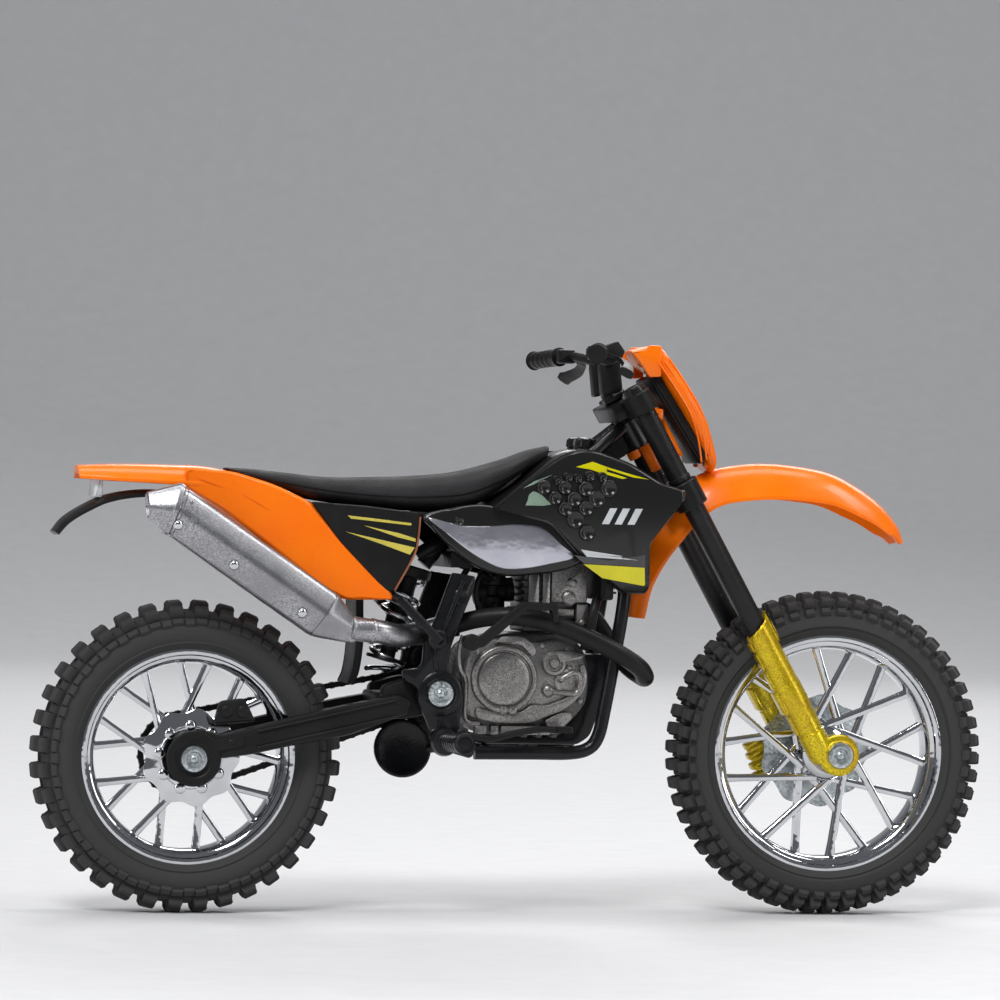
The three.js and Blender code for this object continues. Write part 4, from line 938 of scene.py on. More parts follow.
@dataclass
class ForkSet:
    """Upside-down fork: grained tubes above, gold legs below, clamps, calliper and mudguard."""

    tube_r: float = 1.35
    leg_r: float = 1.78
    top: float = 18.4

    def build(self) -> None:
        """The whole fork."""
        self.tubes()
        self.legs()
        self.clamps()
        self.stem()
        self.mudguard()

    def tubes(self) -> None:
        """The two upper tubes with their caps and clamp bands."""
        shape = Shape()
        rows = [(1.2, -20.6), (self.tube_r, -20.4), (self.tube_r, 4.9), (self.tube_r + 0.12, 5.0),
                (self.tube_r + 0.12, 5.5),
                (self.tube_r, 5.6), (self.tube_r, 17.9), (1.15, 18.3), (0.9, 18.35), (0.85, 18.15), (0.3, 18.1)]
        shape.turn(rows, (FORK_AHEAD, -FORK_Y, 0), UP, 40)
        both_sides("fork_upper", shape.placed(from_fork), TUBE, Body.STEERING, "fork_tube")

    def legs(self) -> None:
        """The gold lower legs, each with a fin, ribs and an axle boss, and the calliper on the left one."""
        leg = Shape()
        rows = np.array([(1.4, -16.2, 0.42), (1.62, -15.9, 0.42), (self.leg_r, -16.1, 0.42), (self.leg_r, -17.6, 0.1),
                         (1.75, -18.1, 0),
                         (1.75, -23.9, 0), (1.83, -24.2, 0), (1.83, -27.4, 0), (1.75, -27.7, 0), (1.72, -30.5, 0),
                         (1.56, -30.6, 0),
                         (1.56, -30.9, 0), (1.75, -31.0, 0), (1.75, -34.0, 0), (1.5, -34.8, 0), (0.4, -35.1, 0)])
        angle = circle(44)
        ahead = rows[:, :1] * np.cos(angle)
        leg.loft(np.stack([FORK_AHEAD + ahead, rows[:, :1] * np.sin(angle) - FORK_Y,
                           rows[:, 1:2] + rows[:, 2:] * ahead], -1))
        fin = [(2.7, -15.5, 0.2), (3.4, -14.4, 0.1), (3.5, -17.0, 0.5), (3.35, -18.8, 0.3), (2.6, -17.8, 0.3)]
        leg.plate(fin, -FORK_Y - 0.75, -FORK_Y + 0.75, 0.12)
        leg.block((-0.62, 0.2), (-FORK_Y - 1.1, -FORK_Y + 1.1), (-27.4, -24.2), 0.25)
        leg.block((-0.45, 0.1), (-FORK_Y - 0.8, -FORK_Y + 0.8), (-18.4, -17.2), 0.25)
        rib = Shape()
        for low, high in ((-21.0, -18.8), (-24.0, -21.4), (-30.4, -27.7)):
            rib.block((-0.34, 0.08), (-FORK_Y - 0.75, -FORK_Y + 0.75), (low, high), 0.15)
        both_sides("fork_leg_rib", rib.placed(from_fork), GOLD, Body.SLIDERS)
        leg.placed(from_fork)
        x, z = FRONT_AXLE
        boss = [(0.95, -7.75), (1.75, -7.75), (1.85, -7.55), (1.95, -7.5), (2.45, -7.45), (2.62, -7.25), (2.62, -5.0),
                (2.4, -4.7), (0.95, -4.7)]
        leg.turn([(r, -y) for r, y in boss], (x, 0, z), RIGHT, 48, closed=True)
        leg.make("fork_leg_right", GOLD, Body.SLIDERS, "fork_slider_right")
        left = leg.mirrored()
        calliper = Shape()
        for k, low in enumerate((-35.0, -33.7, -32.4, -31.1)):
            calliper.block((-5.2 + 0.25 * k, -0.2), (4.6, 6.5), (low, low + 0.95), 0.3)
        calliper.block((-4.4, 0.5), (4.9, 6.2), (-34.9, -30.2), 0.4)
        calliper.placed(from_fork)
        left.join(calliper).make("fork_leg_left", GOLD, Body.SLIDERS, "fork_slider_left")

    def clamps(self) -> None:
        """The two yokes: plates drawn round the stem and tubes, with pinch bolts and a stem nut."""
        for name, low, high, radius in (("lower", 1.4, 4.8, 2.0), ("upper", 14.8, 17.4, 1.95)):
            shape = Shape()
            for y in (-FORK_Y, FORK_Y):
                ring = [(self.tube_r + 0.02, low), (radius - 0.12, low), (radius, low + 0.15), (radius, high - 0.15),
                        (radius - 0.12, high), (self.tube_r + 0.02, high)]
                shape.turn(ring, (FORK_AHEAD, y, 0), UP, 40, closed=True)
                for h in (low + 0.8, high - 0.8):
                    shape.bolt((FORK_AHEAD + radius * 0.92, y * 0.92, h), (1, 0, 0), 0.42, 0.2, 12)
            shape.plate([(-1.9, low + 0.25, 0.3), (2.6, low + 0.25, 0.4), (3.0, (low + high) / 2, 0.5),
                         (2.6, high - 0.25, 0.4),
                         (-1.9, high - 0.25, 0.3)], -5.2, 5.2, 0.3)
            if name == "upper":
                shape.turn([(1.2, high - 0.2), (1.45, high), (1.45, high + 0.5), (1.1, high + 0.8), (0.4, high + 0.85)],
                           (0, 0, 0), UP, 6)
            shape.placed(from_fork)
            if name == "upper":
                for y in (-2.3, 2.3):
                    shape.plate([(8.9, 64.9, 0.4), (11.5, 65.7, 0.5), (11.0, 70.0, 0.7), (8.4, 69.3, 0.7)], y - 0.95,
                                y + 0.95, 0.3)
            shape.make(f"triple_clamp_{name}_yoke", SATIN, Body.STEERING, f"triple_clamp_{name}")

    def stem(self) -> None:
        """The steering stem and the orange collars in front of it."""
        core = Shape().turn([(0.6, 1.0), (1.2, 1.1), (1.2, 14.6), (1.0, 15.4)], (0, 0, 0), UP, 30)
        core.placed(from_fork).make("stem", SATIN, Body.STEERING, "steering_stem")
        shape = Shape().turn([(0.6, 6.9), (1.3, 7.0), (1.45, 7.2), (1.45, 10.8), (1.3, 11.0), (0.6, 11.0)], (0.7, 0, 0),
                             UP, 36)
        shape.turn([(0.2, 9.5), (0.8, 9.6), (0.9, 9.8), (0.9, 11.2), (0.7, 11.4), (0.2, 11.4)], (-0.9, -0.5, 0), UP, 28)
        shape.block((2.9, 4.3), (-2.6, 2.6), (7.2, 14.2), 0.4)
        shape.placed(from_fork).make("stem_collars", ORANGE, Body.STEERING)

    def mudguard(self) -> None:
        """The high front mudguard with its tail between the fork legs."""
        crown = [(12.7, 37.4), (13.3, 42.6), (15.6, 47.8), (19.3, 52.8), (23.0, 55.4), (28.0, 56.5), (33.2, 56.65),
                 (39.8, 55.6),
                 (45.2, 52.7), (48.2, 49.7), (49.3, 47.6)]
        shape = Shape().arch(crown, (2.2, 3.0, 3.6, 3.9, 4.0, 4.05, 4.05, 3.9, 3.4, 2.3),
                             (2.2, 2.8, 3.4, 3.7, 3.8, 3.9, 3.6, 2.9, 1.8, 0.6), 0.75, 60, 2.6, 0.35)
        shape.make("front_mudguard", ORANGE, Body.STEERING, "front_fender", smooth=50)


@dataclass
class Cockpit:
    """Handlebar, levers, grips and the headlamp cowl."""

    grip_r: float = 1.12

    def build(self) -> None:
        """The bar and the cowl."""
        self.bar()
        self.cowl()

    def bar(self) -> None:
        """The bar with its rise, cross bar, grips, perches, levers and reservoir."""
        right = [(9.5, 0, 69.4), (9.5, -3.6, 69.3), (9.2, -5.4, 69.7), (7.8, -7.4, 70.2), (6.9, -9.4, 70.3),
                 (6.5, -10.4, 70.2)]
        shape = Shape()
        for s in (-1, 1):
            shape.bar(through(right, 26) * [1, -s, 1], 0.62, 16)
        shape.bar([(9.3, -5.2, 70.9), (9.3, 0, 71.0), (9.3, 5.2, 70.9)], 0.42, 12)
        for s in (-1, 1):
            shape.block((8.7, 9.9), (s * 5.2 - 0.6, s * 5.2 + 0.6), (69.2, 71.3), 0.25)
            ribs = np.linspace(0, 6.9, 47)
            base = np.array([6.45, s * 10.5, 70.2])
            direction = unit(np.array([4.5, s * 17.6, 69.8]) - base)
            wave = self.grip_r - 0.05 + 0.05 * np.sign(np.sin(ribs * 5.2)) * (ribs > 0.9) * (ribs < 6.3)
            rows = [(0.5, -0.1), (1.22, 0.0), (1.22, 0.35), (self.grip_r, 0.5)]
            rows += [(r, 0.55 + d) for r, d in zip(wave, ribs) if d < 6.4]
            rows += [(self.grip_r + 0.12, 6.9), (self.grip_r, 7.15), (0.3, 7.25)]
            shape.turn(rows, base, direction, 28)
            shape.block((5.6, 7.9), (s * 8.3 - 0.7, s * 8.3 + 0.7), (69.3, 71.1), 0.35)
            lever = through([(7.2, s * 8.6, 70.2), (8.9, s * 9.6, 69.6), (9.5, s * 11.2, 69.1), (9.5, s * 13.2, 68.4),
                             (8.9, s * 15.2, 67.9), (8.5, s * 16.6, 67.6)], 22)
            blade = np.array([(0.5, 0.22), (0.2, 0.3), (-0.2, 0.3), (-0.5, 0.22), (-0.5, -0.22), (-0.2, -0.3),
                              (0.2, -0.3),
                              (0.5, -0.22)])
            shape.bar(lever, np.interp(np.arange(22), [0, 6, 18, 21], [1.3, 1.1, 1.5, 1.8]), section=blade)
        reservoir = [(6.3, 70.3, 0.3), (8.0, 71.3, 0.3), (9.3, 71.75, 0.2), (10.2, 70.5, 0.2), (9.8, 69.6, 0.3),
                     (8.4, 68.6, 0.5), (6.6, 69.2, 0.4)]
        shape.plate(reservoir, -9.2, -7.4, 0.25)
        shape.make("bar_and_controls", SATIN, Body.STEERING, "handlebar")

    def cowl(self) -> None:
        """The tall narrow headlamp cowl: a curved shield with a ridged face, on a pad behind it."""
        rows = [(12.8, 70.9, 13.9, 68.9), (15.0, 71.5, 15.0, 68.3), (16.5, 71.3, 16.0, 67.7), (18.6, 68.4, 17.5, 65.4),
                (20.9, 65.2, 18.9, 63.2), (22.4, 62.5, 20.2, 61.0), (23.4, 59.8, 21.3, 58.8), (24.1, 57.3, 22.3, 57.0),
                (23.9, 56.0, 23.0, 56.0)]
        width = [2.6, 3.9, 4.7, 5.1, 5.1, 4.9, 4.3, 3.6, 2.5]
        shape = Shape().hull([(*r, w) for r, w in zip(rows, width)], 44, 40, 3.2, 0.25)
        shape.make("lamp_cowl", ORANGE, Body.STEERING, "headlight_cowl", smooth=50)
        pad = [(14.7, 67.2, 0.4), (16.0, 67.9, 0.4), (22.8, 57.9, 0.4), (21.6, 56.7, 0.4)]
        Shape().plate(pad, -4.0, 4.0, 0.4).make("lamp_pad", SATIN, Body.STEERING, "headlight_backing")
        trim = Shape()
        for s in (-1, 1):
            trim.plate([(12.1, 70.6, 0.2), (13.9, 70.9, 0.2), (14.4, 71.5, 0.2), (16.0, 71.5, 0.3), (16.0, 67.6, 0.3),
                        (14.5, 67.5, 0.2), (13.2, 69.4, 0.2)], s * 4.55 - 0.3,
                       s * 4.55 + 0.3, 0.15)
            for back, y in ((0.0, 4.8), (0.75, 5.05), (1.5, 5.1)):
                edge = [(17.0, 69.9), (19.1, 67.0), (21.2, 63.7), (22.4, 60.4), (22.9, 57.7)]
                trim.bar(through([(x - back * 0.9, s * (y - 0.05 - 0.15 * k * (k > 2)), z - back * 0.45) for k,
                                  (x, z) in enumerate(edge)],
                                 30), 0.12, 8)
        trim.make("cowl_fins", ORANGE, Body.STEERING)
        tabs = Shape()
        for y in (-2.3, 2.3):
            tabs.block((22.3, 23.7), (y - 0.6, y + 0.6), (56.4, 57.7), 0.25)
            tabs.block((15.2, 16.6), (y * 1.5 - 0.6, y * 1.5 + 0.6), (62.2, 63.6), 0.25)
        tabs.make("cowl_tabs", ORANGE, Body.STEERING)


# ------------ frame and running gear


@dataclass
class FrameSet:
    """Cradle tubes, pivot plates, rear struts, pegs and levers."""

    tube_r: float = 0.85
    plate_y: tuple[float, float] = (-7.4, -5.9)

    def build(self) -> None:
        """The frame's parts."""
        self.cradle()
        self.web()
        self.plates()
        self.struts()
        self.pegs()
        self.controls()
        self.neck()

    def cradle(self) -> None:
        """The tubes that run under the engine and up to the neck."""
        path = [(-7.2, -6, 20.3), (0, -6, 20.35), (5.0, -6, 20.4), (7.4, -6, 21.0), (8.6, -6, 22.6), (9.3, -6, 25.8),
                (10.2, -6, 31), (11.4, -6, 38.6), (11.6, -5.2, 41.6), (10.9, -3.2, 47), (10.2, -2.8, 49.6)]
        shape = Shape().bar(through(path, 90), self.tube_r, 20)
        shape.bar([(-5.2, -5.6, 20.5), (-5.2, -2.1, 20.9)], 0.5, 12)
        both_sides("cradle_tube", shape, FRAME, Body.CHASSIS, "cradle")

    def web(self) -> None:
        """The dark web inside the cradle, in front of and below the engine."""
        outline = [(7.8, 32.6, 0.3), (11.0, 32.6, 0.3), (10.9, 30.7, 0.5), (9.6, 25.0, 0.5), (8.6, 22.2, 0.8),
                   (7.0, 21.2, 0.5), (-5.9, 21.2, 0.3),
                   (-5.9, 22.3, 0.2), (4.9, 22.3, 0.6), (6.9, 25.3, 0.5), (7.8, 30.7, 0.5)]
        Shape().plate(outline, -1.6, 1.6, 0.2).make("cradle_web", FRAME, Body.CHASSIS)

    def plates(self) -> None:
        """The cast plates that carry the swingarm pivot, with a raised border and bosses."""
        outline = [(-10.6, 42.6, 0.3), (-7.8, 42.2, 0.3), (-7.8, 40.9, 0.5), (-9.9, 35.6, 0.8), (-10.7, 33.3, 1.2),
                   (-11.1, 30.6, 1.0), (-9.7, 28.9, 0.8), (-8.9, 27.3, 0.8), (-9.4, 23.5, 1.0), (-7.1, 21.3, 0.5),
                   (-7.8, 19.6, 0.5), (-12.1, 20.8, 1.5), (-13.9, 24.9, 1.0), (-14.8, 26.7, 0.5), (-14.7, 28.3, 0.8),
                   (-16.5, 29.2, 0.5), (-16.7, 30.5, 0.5), (-14.2, 30.8, 1.0), (-14.0, 34.0, 0.8), (-12.9, 36.1, 0.8)]
        y0, y1 = self.plate_y
        shape = Shape().plate(outline, y1, y0, 0.3)
        x, z = PIVOT
        shape.turn([(1.7, -0.2), (2.75, -0.15), (2.8, 0.05), (2.55, 0.22), (2.0, 0.22), (1.85, 0.1)], (x, y0, z), RIGHT,
                   40, closed=True)
        for at in ((-12.3, 22.4), (-9.6, 39.6)):
            shape.turn([(0.5, -0.1), (1.0, -0.05), (1.0, 0.1), (0.8, 0.2), (0.3, 0.1)], (at[0], y0, at[1]), RIGHT, 20)
        rib = [(-9.3, -7.42, 41.6), (-11.5, -7.42, 36), (-12.6, -7.42, 32.2), (-12.5, -7.42, 30.6)]
        shape.bar(through(rib, 20), 0.32, 10)
        both_sides("pivot_plate_cast", shape, FRAME, Body.CHASSIS, "pivot_plate")

    def struts(self) -> None:
        """The rear subframe: a bolted strut each side and the bar across."""
        shape = Shape()
        flat = np.array([(0.8, 0.3), (0.6, 0.55), (-0.6, 0.55), (-0.8, 0.3), (-0.8, -0.3), (-0.6, -0.55), (0.6, -0.55),
                         (0.8, -0.3)])
        for s in (-1, 1):
            shape.bar(through([(-12.3, 7.95 * s, 34.1), (-15.0, 8.0 * s, 36.8), (-17.4, 7.9 * s, 39.2)], 10), 1.0,
                      section=flat)
            shape.bar([(-17.1, 7.8 * s, 38.9), (-18.2, 5.6 * s, 39.6), (-19.0, 4.8 * s, 40.9)], 0.6, 14)
            shape.turn([(0.9, -0.9), (1.25, -0.8), (1.25, 0.3), (1.0, 0.55), (0.6, 0.6), (0.5, 0.4), (0.2, 0.38)],
                       (-12.5, 8.0 * s, 34.3), (0, s, 0), 28)
        shape.bar([(-18.9, -4.9, 40.8), (-18.9, 0, 40.8), (-18.9, 4.9, 40.8)], 0.55, 14)
        shape.bar([(-12.5, -7.6, 34.3), (-12.5, 0, 34.3), (-12.5, 7.6, 34.3)], 0.55, 14)
        shape.make("rear_struts", FRAME, Body.CHASSIS, "subframe")

    def pegs(self) -> None:
        """Round footpegs with a ringed end on their clevis bosses."""
        base, tip = np.array([-11.4, -7.8, 21.7]), np.array([-10.4, -15.7, 21.9])
        shape = Shape().turn([(0.5, -0.4), (1.7, -0.3), (1.8, 0.2), (1.6, 1.1), (1.1, 1.3)], base, RIGHT, 32)
        length = float(np.linalg.norm(tip - base))
        rows = [(0.4, 0.5), (1.15, 0.6)]
        for k in range(7):
            rows += [(1.15, 1.2 + k * 0.8), (1.02, 1.3 + k * 0.8), (1.02, 1.5 + k * 0.8), (1.15, 1.6 + k * 0.8)]
        rows += [(1.15, length - 0.7), (1.34, length - 0.6), (1.36, length - 0.15), (1.2, length), (0.9, length - 0.05),
                 (0.78, length - 0.25), (0.2, length - 0.22)]
        shape.turn(rows, base, unit(tip - base), 32)
        shape.bar([(-10.7, -8.4, 21.4), (-9.4, -8.2, 21.0), (-8.3, -7.4, 20.7)], 0.62, 14)
        both_sides("footpeg_round", shape, FRAME, Body.CHASSIS, "footpeg")

    def controls(self) -> None:
        """The brake pedal on the right and the gear lever on the left."""
        pedal = through([(-9.2, -8.6, 22.8), (-5.8, -8.5, 22.2), (-2.6, -8.3, 22.9), (0.8, -8.1, 23.4),
                         (3.2, -8.3, 23.3)], 26)
        shape = Shape().bar(pedal, 0.42, 12)
        shape.block((2.6, 4.6), (-9.2, -7.5), (23.0, 23.8), 0.2)
        shape.bolt((-9.3, -8.9, 22.8), RIGHT, 0.8, 0.3)
        shape.make("brake_pedal", SATIN, Body.CHASSIS)
        lever = through([(-3.2, 8.0, 23.9), (-0.2, 8.4, 24.3), (2.8, 8.5, 25.2), (4.6, 8.4, 25.8)], 22)
        shape = Shape().bar(lever, 0.4, 12)
        shape.bar([(4.4, 7.8, 25.8), (4.5, 9.6, 25.9)], 0.62, 16)
        shape.bolt((-3.3, 8.3, 23.9), LEFT, 0.75, 0.3)
        shape.make("gear_lever", SATIN, Body.CHASSIS)

    def neck(self) -> None:
        """The head tube with its gussets, and the spine under the tank."""
        shape = Shape().turn([(1.15, 10.75), (2.3, 10.8), (2.4, 11.2), (2.3, 14.1), (2.4, 14.3), (2.3, 14.5),
                              (1.15, 14.55)],
                             (0, 0, 0), UP, 36, closed=True)
        shape.placed(from_fork)
        for s in (-1, 1):
            spine = [(12.0, 1.6 * s, 61.2), (9.8, 2.2 * s, 59.4), (7.6, 2.6 * s, 57.6), (4.0, 2.9 * s, 56.0)]
            shape.bar(through(spine, 18), [0.85] * 18, 14)
        shape.make("neck_gussets", GLOSS, Body.CHASSIS)


@dataclass
class Engine:
    """Single-cylinder engine with its cast covers, carburettor and kick lever."""

    half: float = 5.2

    def build(self) -> None:
        """The whole engine."""
        self.case()
        self.clutch()
        self.barrel()
        self.intake()
        self.kick()
        self.hoses()

    def case(self) -> None:
        """The crankcase with lobed covers, ribs and bolts on both sides."""
        outline = [(-8.0, 26.5, 1), (-7.6, 24.2, 1), (-6.2, 22.6, 0.6), (3.4, 22.6, 0.8), (5.4, 24.4, 0.8),
                   (7.2, 26.5, 1.2),
                   (7.5, 30, 1.5), (6.9, 33, 1), (5, 35.1, 0.6), (-3, 35.2, 0.6), (-6.5, 34, 0.8), (-8.0, 31, 1)]
        shape = Shape().plate(outline, -self.half, self.half, 0.5)
        for k in range(5):
            shape.block((-4.6 + 1.9 * k, -3.9 + 1.9 * k), (-4.4, 4.4), (22.2, 23.0), 0.15)
        # the case body sits behind the covers, so it takes the darker engine paint as painted shade
        shape.make("crankcase_cast", ENGINE_PAINTED_SHADE, Body.CHASSIS, "crankcase")
        covers = Shape()
        lobe = smooth_closed([(-8.2, 25.4), (-5.2, 24.3), (-1.4, 24.3), (1.9, 25.1), (4.6, 26.0), (6.4, 27.8),
                              (6.9, 30.0),
                              (6.3, 32.4), (3.6, 34.4), (0.4, 34.2), (-4.0, 34.6), (-7.6, 33.4), (-8.6, 29.8)], 90)
        covers.plate(lobe, -5.9, -4.6, 0.4)
        sweep = [(-7.4, 25.5, 0.6), (-7.0, 24.5, 0.8), (-5.1, 24.1, 1.0), (-2.5, 24.0, 1.0), (0.0, 24.1, 1.0),
                 (1.9, 24.9, 1.0),
                 (3.8, 25.6, 0.8), (5.3, 26.7, 0.8), (6.5, 28.0, 0.8), (7.0, 29.9, 1.0), (6.5, 31.6, 0.4),
                 (5.9, 31.2, 0.3),
                 (6.2, 29.6, 0.8), (5.5, 27.9, 0.8), (3.9, 27.1, 0.6), (1.4, 26.2, 0.8), (-0.1, 26.5, 0.6),
                 (-1.3, 25.5, 0.6),
                 (-3.5, 25.3, 0.8), (-5.4, 25.6, 0.8), (-6.8, 26.0, 0.6)]
        covers.plate(sweep, -6.55, -5.4, 0.22)
        covers.plate([(-5.1, 33.8, 0.4), (-4.2, 34.8, 0.6), (-1.5, 34.9, 0.6), (-0.1, 34.1, 0.8), (0.5, 32.7, 0.5),
                      (-0.2, 32.3, 0.3),
                      (-1.6, 33.8, 0.6)], -6.4, -5.4, 0.25)
        covers.plate([(1.6, 24.4, 0.3), (3.4, 25.4, 0.4), (5.0, 25.5, 0.4), (5.2, 24.7, 0.4), (3.2, 22.9, 0.4),
                      (2.7, 22.7, 0.3)], -6.3,
                     -4.8, 0.22)
        for x0, x1 in ((-7.2, -5.7), (-5.2, -4.2), (-3.9, 0.9), (1.1, 2.4)):
            covers.block((x0, x1), (-6.2, -4.8), (22.6, 23.7), 0.2)
        ridge = [(-8.9, -5.9, 34.8), (-9.4, -5.9, 33.0), (-9.2, -5.9, 30.7), (-8.4, -5.9, 29.0), (-8.5, -5.9, 25.0),
                 (-7.9, -5.9, 24.0),
                 (-6.6, -5.9, 23.9)]
        covers.bar(through(ridge, 50), 0.3, 10)
        both = covers.mirrored()
        covers.join(both)
        for x, z in ((-6.9, 32.7), (1.2, 33.7), (4.4, 33.3), (3.6, 24.9), (6.2, 26.9)):
            for s in (-1, 1):
                covers.bolt((x, s * 5.95, z), (0, s, 0), 0.36, 0.22, 14)
        covers.make("engine_covers", ENGINE, Body.CHASSIS)
        detail = Shape()
        detail.turn([(0.4, -0.6), (1.5, -0.55), (1.58, 0.1), (1.4, 0.35), (1.05, 0.42), (0.95, 0.22), (0.72, 0.22),
                     (0.66, 0.55),
                     (0.5, 0.72), (0.1, 0.74)], (2.7, -6.1, 31.5), RIGHT, 36)
        detail.plate([(2.7, 33.1, 0.4), (4.6, 33.2, 0.4), (6.5, 32.7, 0.3), (6.1, 32.1, 0.2), (4.3, 31.8, 0.4),
                      (3.4, 31.6, 0.2)], -6.6,
                     -5.6, 0.22)
        detail.turn([(0.3, -0.5), (0.72, -0.4), (0.82, 0.0), (0.72, 0.32), (0.45, 0.52), (0.1, 0.58)],
                    (2.0, -6.2, 28.1), RIGHT, 28)
        arm = [(2.4, -6.45, 28.05), (3.8, -6.45, 27.9), (5.5, -6.45, 27.85), (6.1, -6.4, 29.0), (5.9, -6.4, 30.1),
               (5.1, -6.4, 30.4),
               (4.1, -6.4, 29.9), (3.6, -6.4, 29.6)]
        detail.bar(through(arm, 50), 0.34, 12)
        detail.turn([(0.2, -0.4), (0.42, -0.3), (0.48, 0.1), (0.3, 0.34), (0.1, 0.38)], (3.6, -6.3, 29.6), RIGHT, 18)
        detail.turn([(0.2, -0.4), (0.3, -0.3), (0.36, 0.1), (0.2, 0.28), (0.05, 0.3)], (4.7, -6.1, 31.0), RIGHT, 16)
        detail.turn([(1.15, -0.2), (1.75, -0.15), (1.75, 0.1), (1.55, 0.22), (1.2, 0.1)], (4.6, -6.05, 29.1), RIGHT, 32,
                    closed=True)
        detail.make("engine_fittings", ENGINE, Body.CHASSIS)

    def clutch(self) -> None:
        """The round cover: a raised ring, a dished face and a clasp at its foot."""
        shape = Shape()
        rows = [(2.0, -1.1), (4.0, -1.0), (4.2, -0.7), (4.22, 0.0), (4.1, 0.2), (3.85, 0.3), (3.6, 0.24), (3.5, 0.0),
                (3.46, -0.16),
                (3.36, -0.18), (3.28, 0.0), (3.1, 0.14), (2.4, 0.2), (1.2, 0.23), (0.3, 0.24)]
        shape.turn(rows, (-3.7, -6.65, 29.5), RIGHT, 90)
        shape.block((-4.2, -3.4), (-7.05, -6.0), (25.2, 26.2), 0.2)
        shape.block((-3.1, -2.1), (-7.05, -6.0), (25.2, 26.1), 0.2)
        shape.make("clutch_cover_ring", ENGINE, Body.CHASSIS, "clutch_cover")
        cover = Shape()
        cover.turn([(1.5, -0.8), (3.3, -0.7), (3.5, -0.3), (3.4, 0.1), (2.9, 0.35), (1.6, 0.5), (1.4, 0.3),
                    (0.3, 0.35)],
                   (-2.6, 6.0, 29.4), LEFT, 60)
        for k in range(6):
            a = math.radians(60 * k)
            cover.bolt((-2.6 + 3.05 * math.cos(a), 6.35, 29.4 + 3.05 * math.sin(a)), LEFT, 0.3, 0.16, 12)
        cover.make("ignition_cover", ENGINE, Body.CHASSIS)

    def barrel(self) -> None:
        """The finned cylinder and head, with side plates and bosses."""
        shape = Shape().block((-0.9, 7.0), (-3.9, 3.9), (35.3, 44.0), 0.4)
        for z in np.arange(36.3, 41.6, 0.85):
            shape.block((-1.2, 7.2), (-4.4, 4.3), (z, z + 0.36), 0.1)
        # the fins sit between the side plates, so they take the darker engine paint as painted shade
        shape.make("cylinder_fins", ENGINE_PAINTED_SHADE, Body.CHASSIS, "cylinder")
        sides = Shape()
        for s in (-1, 1):
            y = (4.0 * s, 4.95 * s)
            for x0, x1, z0, z1 in ((-0.5, 0.9, 36.0, 42.6), (1.3, 2.3, 36.0, 42.8), (2.45, 7.0, 39.1, 44.0),
                                   (5.7, 7.2, 35.6, 38.9),
                                   (2.6, 5.4, 37.4, 38.3), (2.8, 5.2, 35.6, 36.8)):
                sides.block((x0, x1), y, (z0, z1), 0.2)
            for x, z, r in ((5.0, 41.6, 0.62), (4.7, 39.6, 0.9), (1.8, 36.6, 0.4), (6.4, 36.6, 0.45)):
                sides.turn([(0.2, -0.2), (r, -0.1), (r, 0.3), (r * 0.75, 0.45), (r * 0.4, 0.5), (0.1, 0.5)],
                           (x, 5.0 * s, z),
                           (0, s, 0), 22)
        sides.make("cylinder_plates", ENGINE, Body.CHASSIS)

    def intake(self) -> None:
        """The carburettor: float bowl, body and slide top, with its rubber boots."""
        shape = Shape()
        shape.turn([(0.4, 0.0), (1.55, 0.1), (1.7, 0.5), (1.7, 2.0), (1.2, 2.3), (1.2, 3.4), (1.75, 3.6), (1.8, 4.9),
                    (1.3, 5.5),
                    (0.5, 5.8), (0.2, 6.2)], (-4.2, -0.2, 37.5), UP, 36)
        shape.turn([(0.9, -2.6), (1.5, -2.5), (1.55, -1.2), (1.25, -1.0), (1.25, 1.2), (1.5, 1.4), (1.5, 2.4),
                    (0.8, 2.5)],
                   (-3.9, 0, 40.3), (1, 0, 0.1), 32)
        for z in (38.4, 42.0):
            shape.bolt((-4.2, -2.0, z), RIGHT, 0.45, 0.25, 12)
        shape.bar(through([(-4.8, -1.8, 41.6), (-6.2, -3.0, 42.2), (-6.9, -3.4, 40.3), (-6.4, -3.2, 37.8)], 22), 0.36,
                  10)
        shape.make("carburettor_body", SATIN, Body.CHASSIS, "carburettor")

    def kick(self) -> None:
        """The folded kick lever on its splined boss."""
        outline = [(-9.5, 33.3, 0.3), (-9.6, 34.8, 0.3), (-7.7, 34.8, 0.5), (-2.4, 39.25, 0.5), (2.2, 39.1, 0.3),
                   (2.3, 36.7, 0.2),
                   (1.6, 36.7, 0.2), (1.4, 38.15, 0.3), (-1.8, 38.2, 0.4), (-7.1, 33.5, 0.4)]
        shape = Shape().plate(outline, -10.1, -9.3, 0.22)
        shape.turn([(0.3, -2.0), (0.85, -1.9), (0.85, 0.2), (1.05, 0.3), (1.05, 0.8), (0.7, 0.95), (0.2, 0.95)],
                   (-8.6, -9.2, 34.1), RIGHT, 28)
        shape.make("kick_lever", SATIN, Body.CHASSIS, "kick_start_lever")

    def hoses(self) -> None:
        """The breather hose and a coolant hose each side."""
        shape = Shape()
        hose = through([(-6.2, 3.2, 43.6), (-7.4, 4.4, 40.8), (-7.8, 4.8, 37.0), (-7.4, 4.9, 34.4)], 26)
        shape.bar(hose, 0.42, 12)
        coolant = through([(8.6, -4.6, 40.3), (7.8, -5.6, 38.2), (7.3, -5.7, 35.6), (6.6, -5.7, 33.2)], 26)
        shape.bar(coolant, 0.6, 14)
        shape.bar(coolant * [1, -1, 1], 0.6, 14)
        shape.make("hoses", SATIN, Body.CHASSIS)


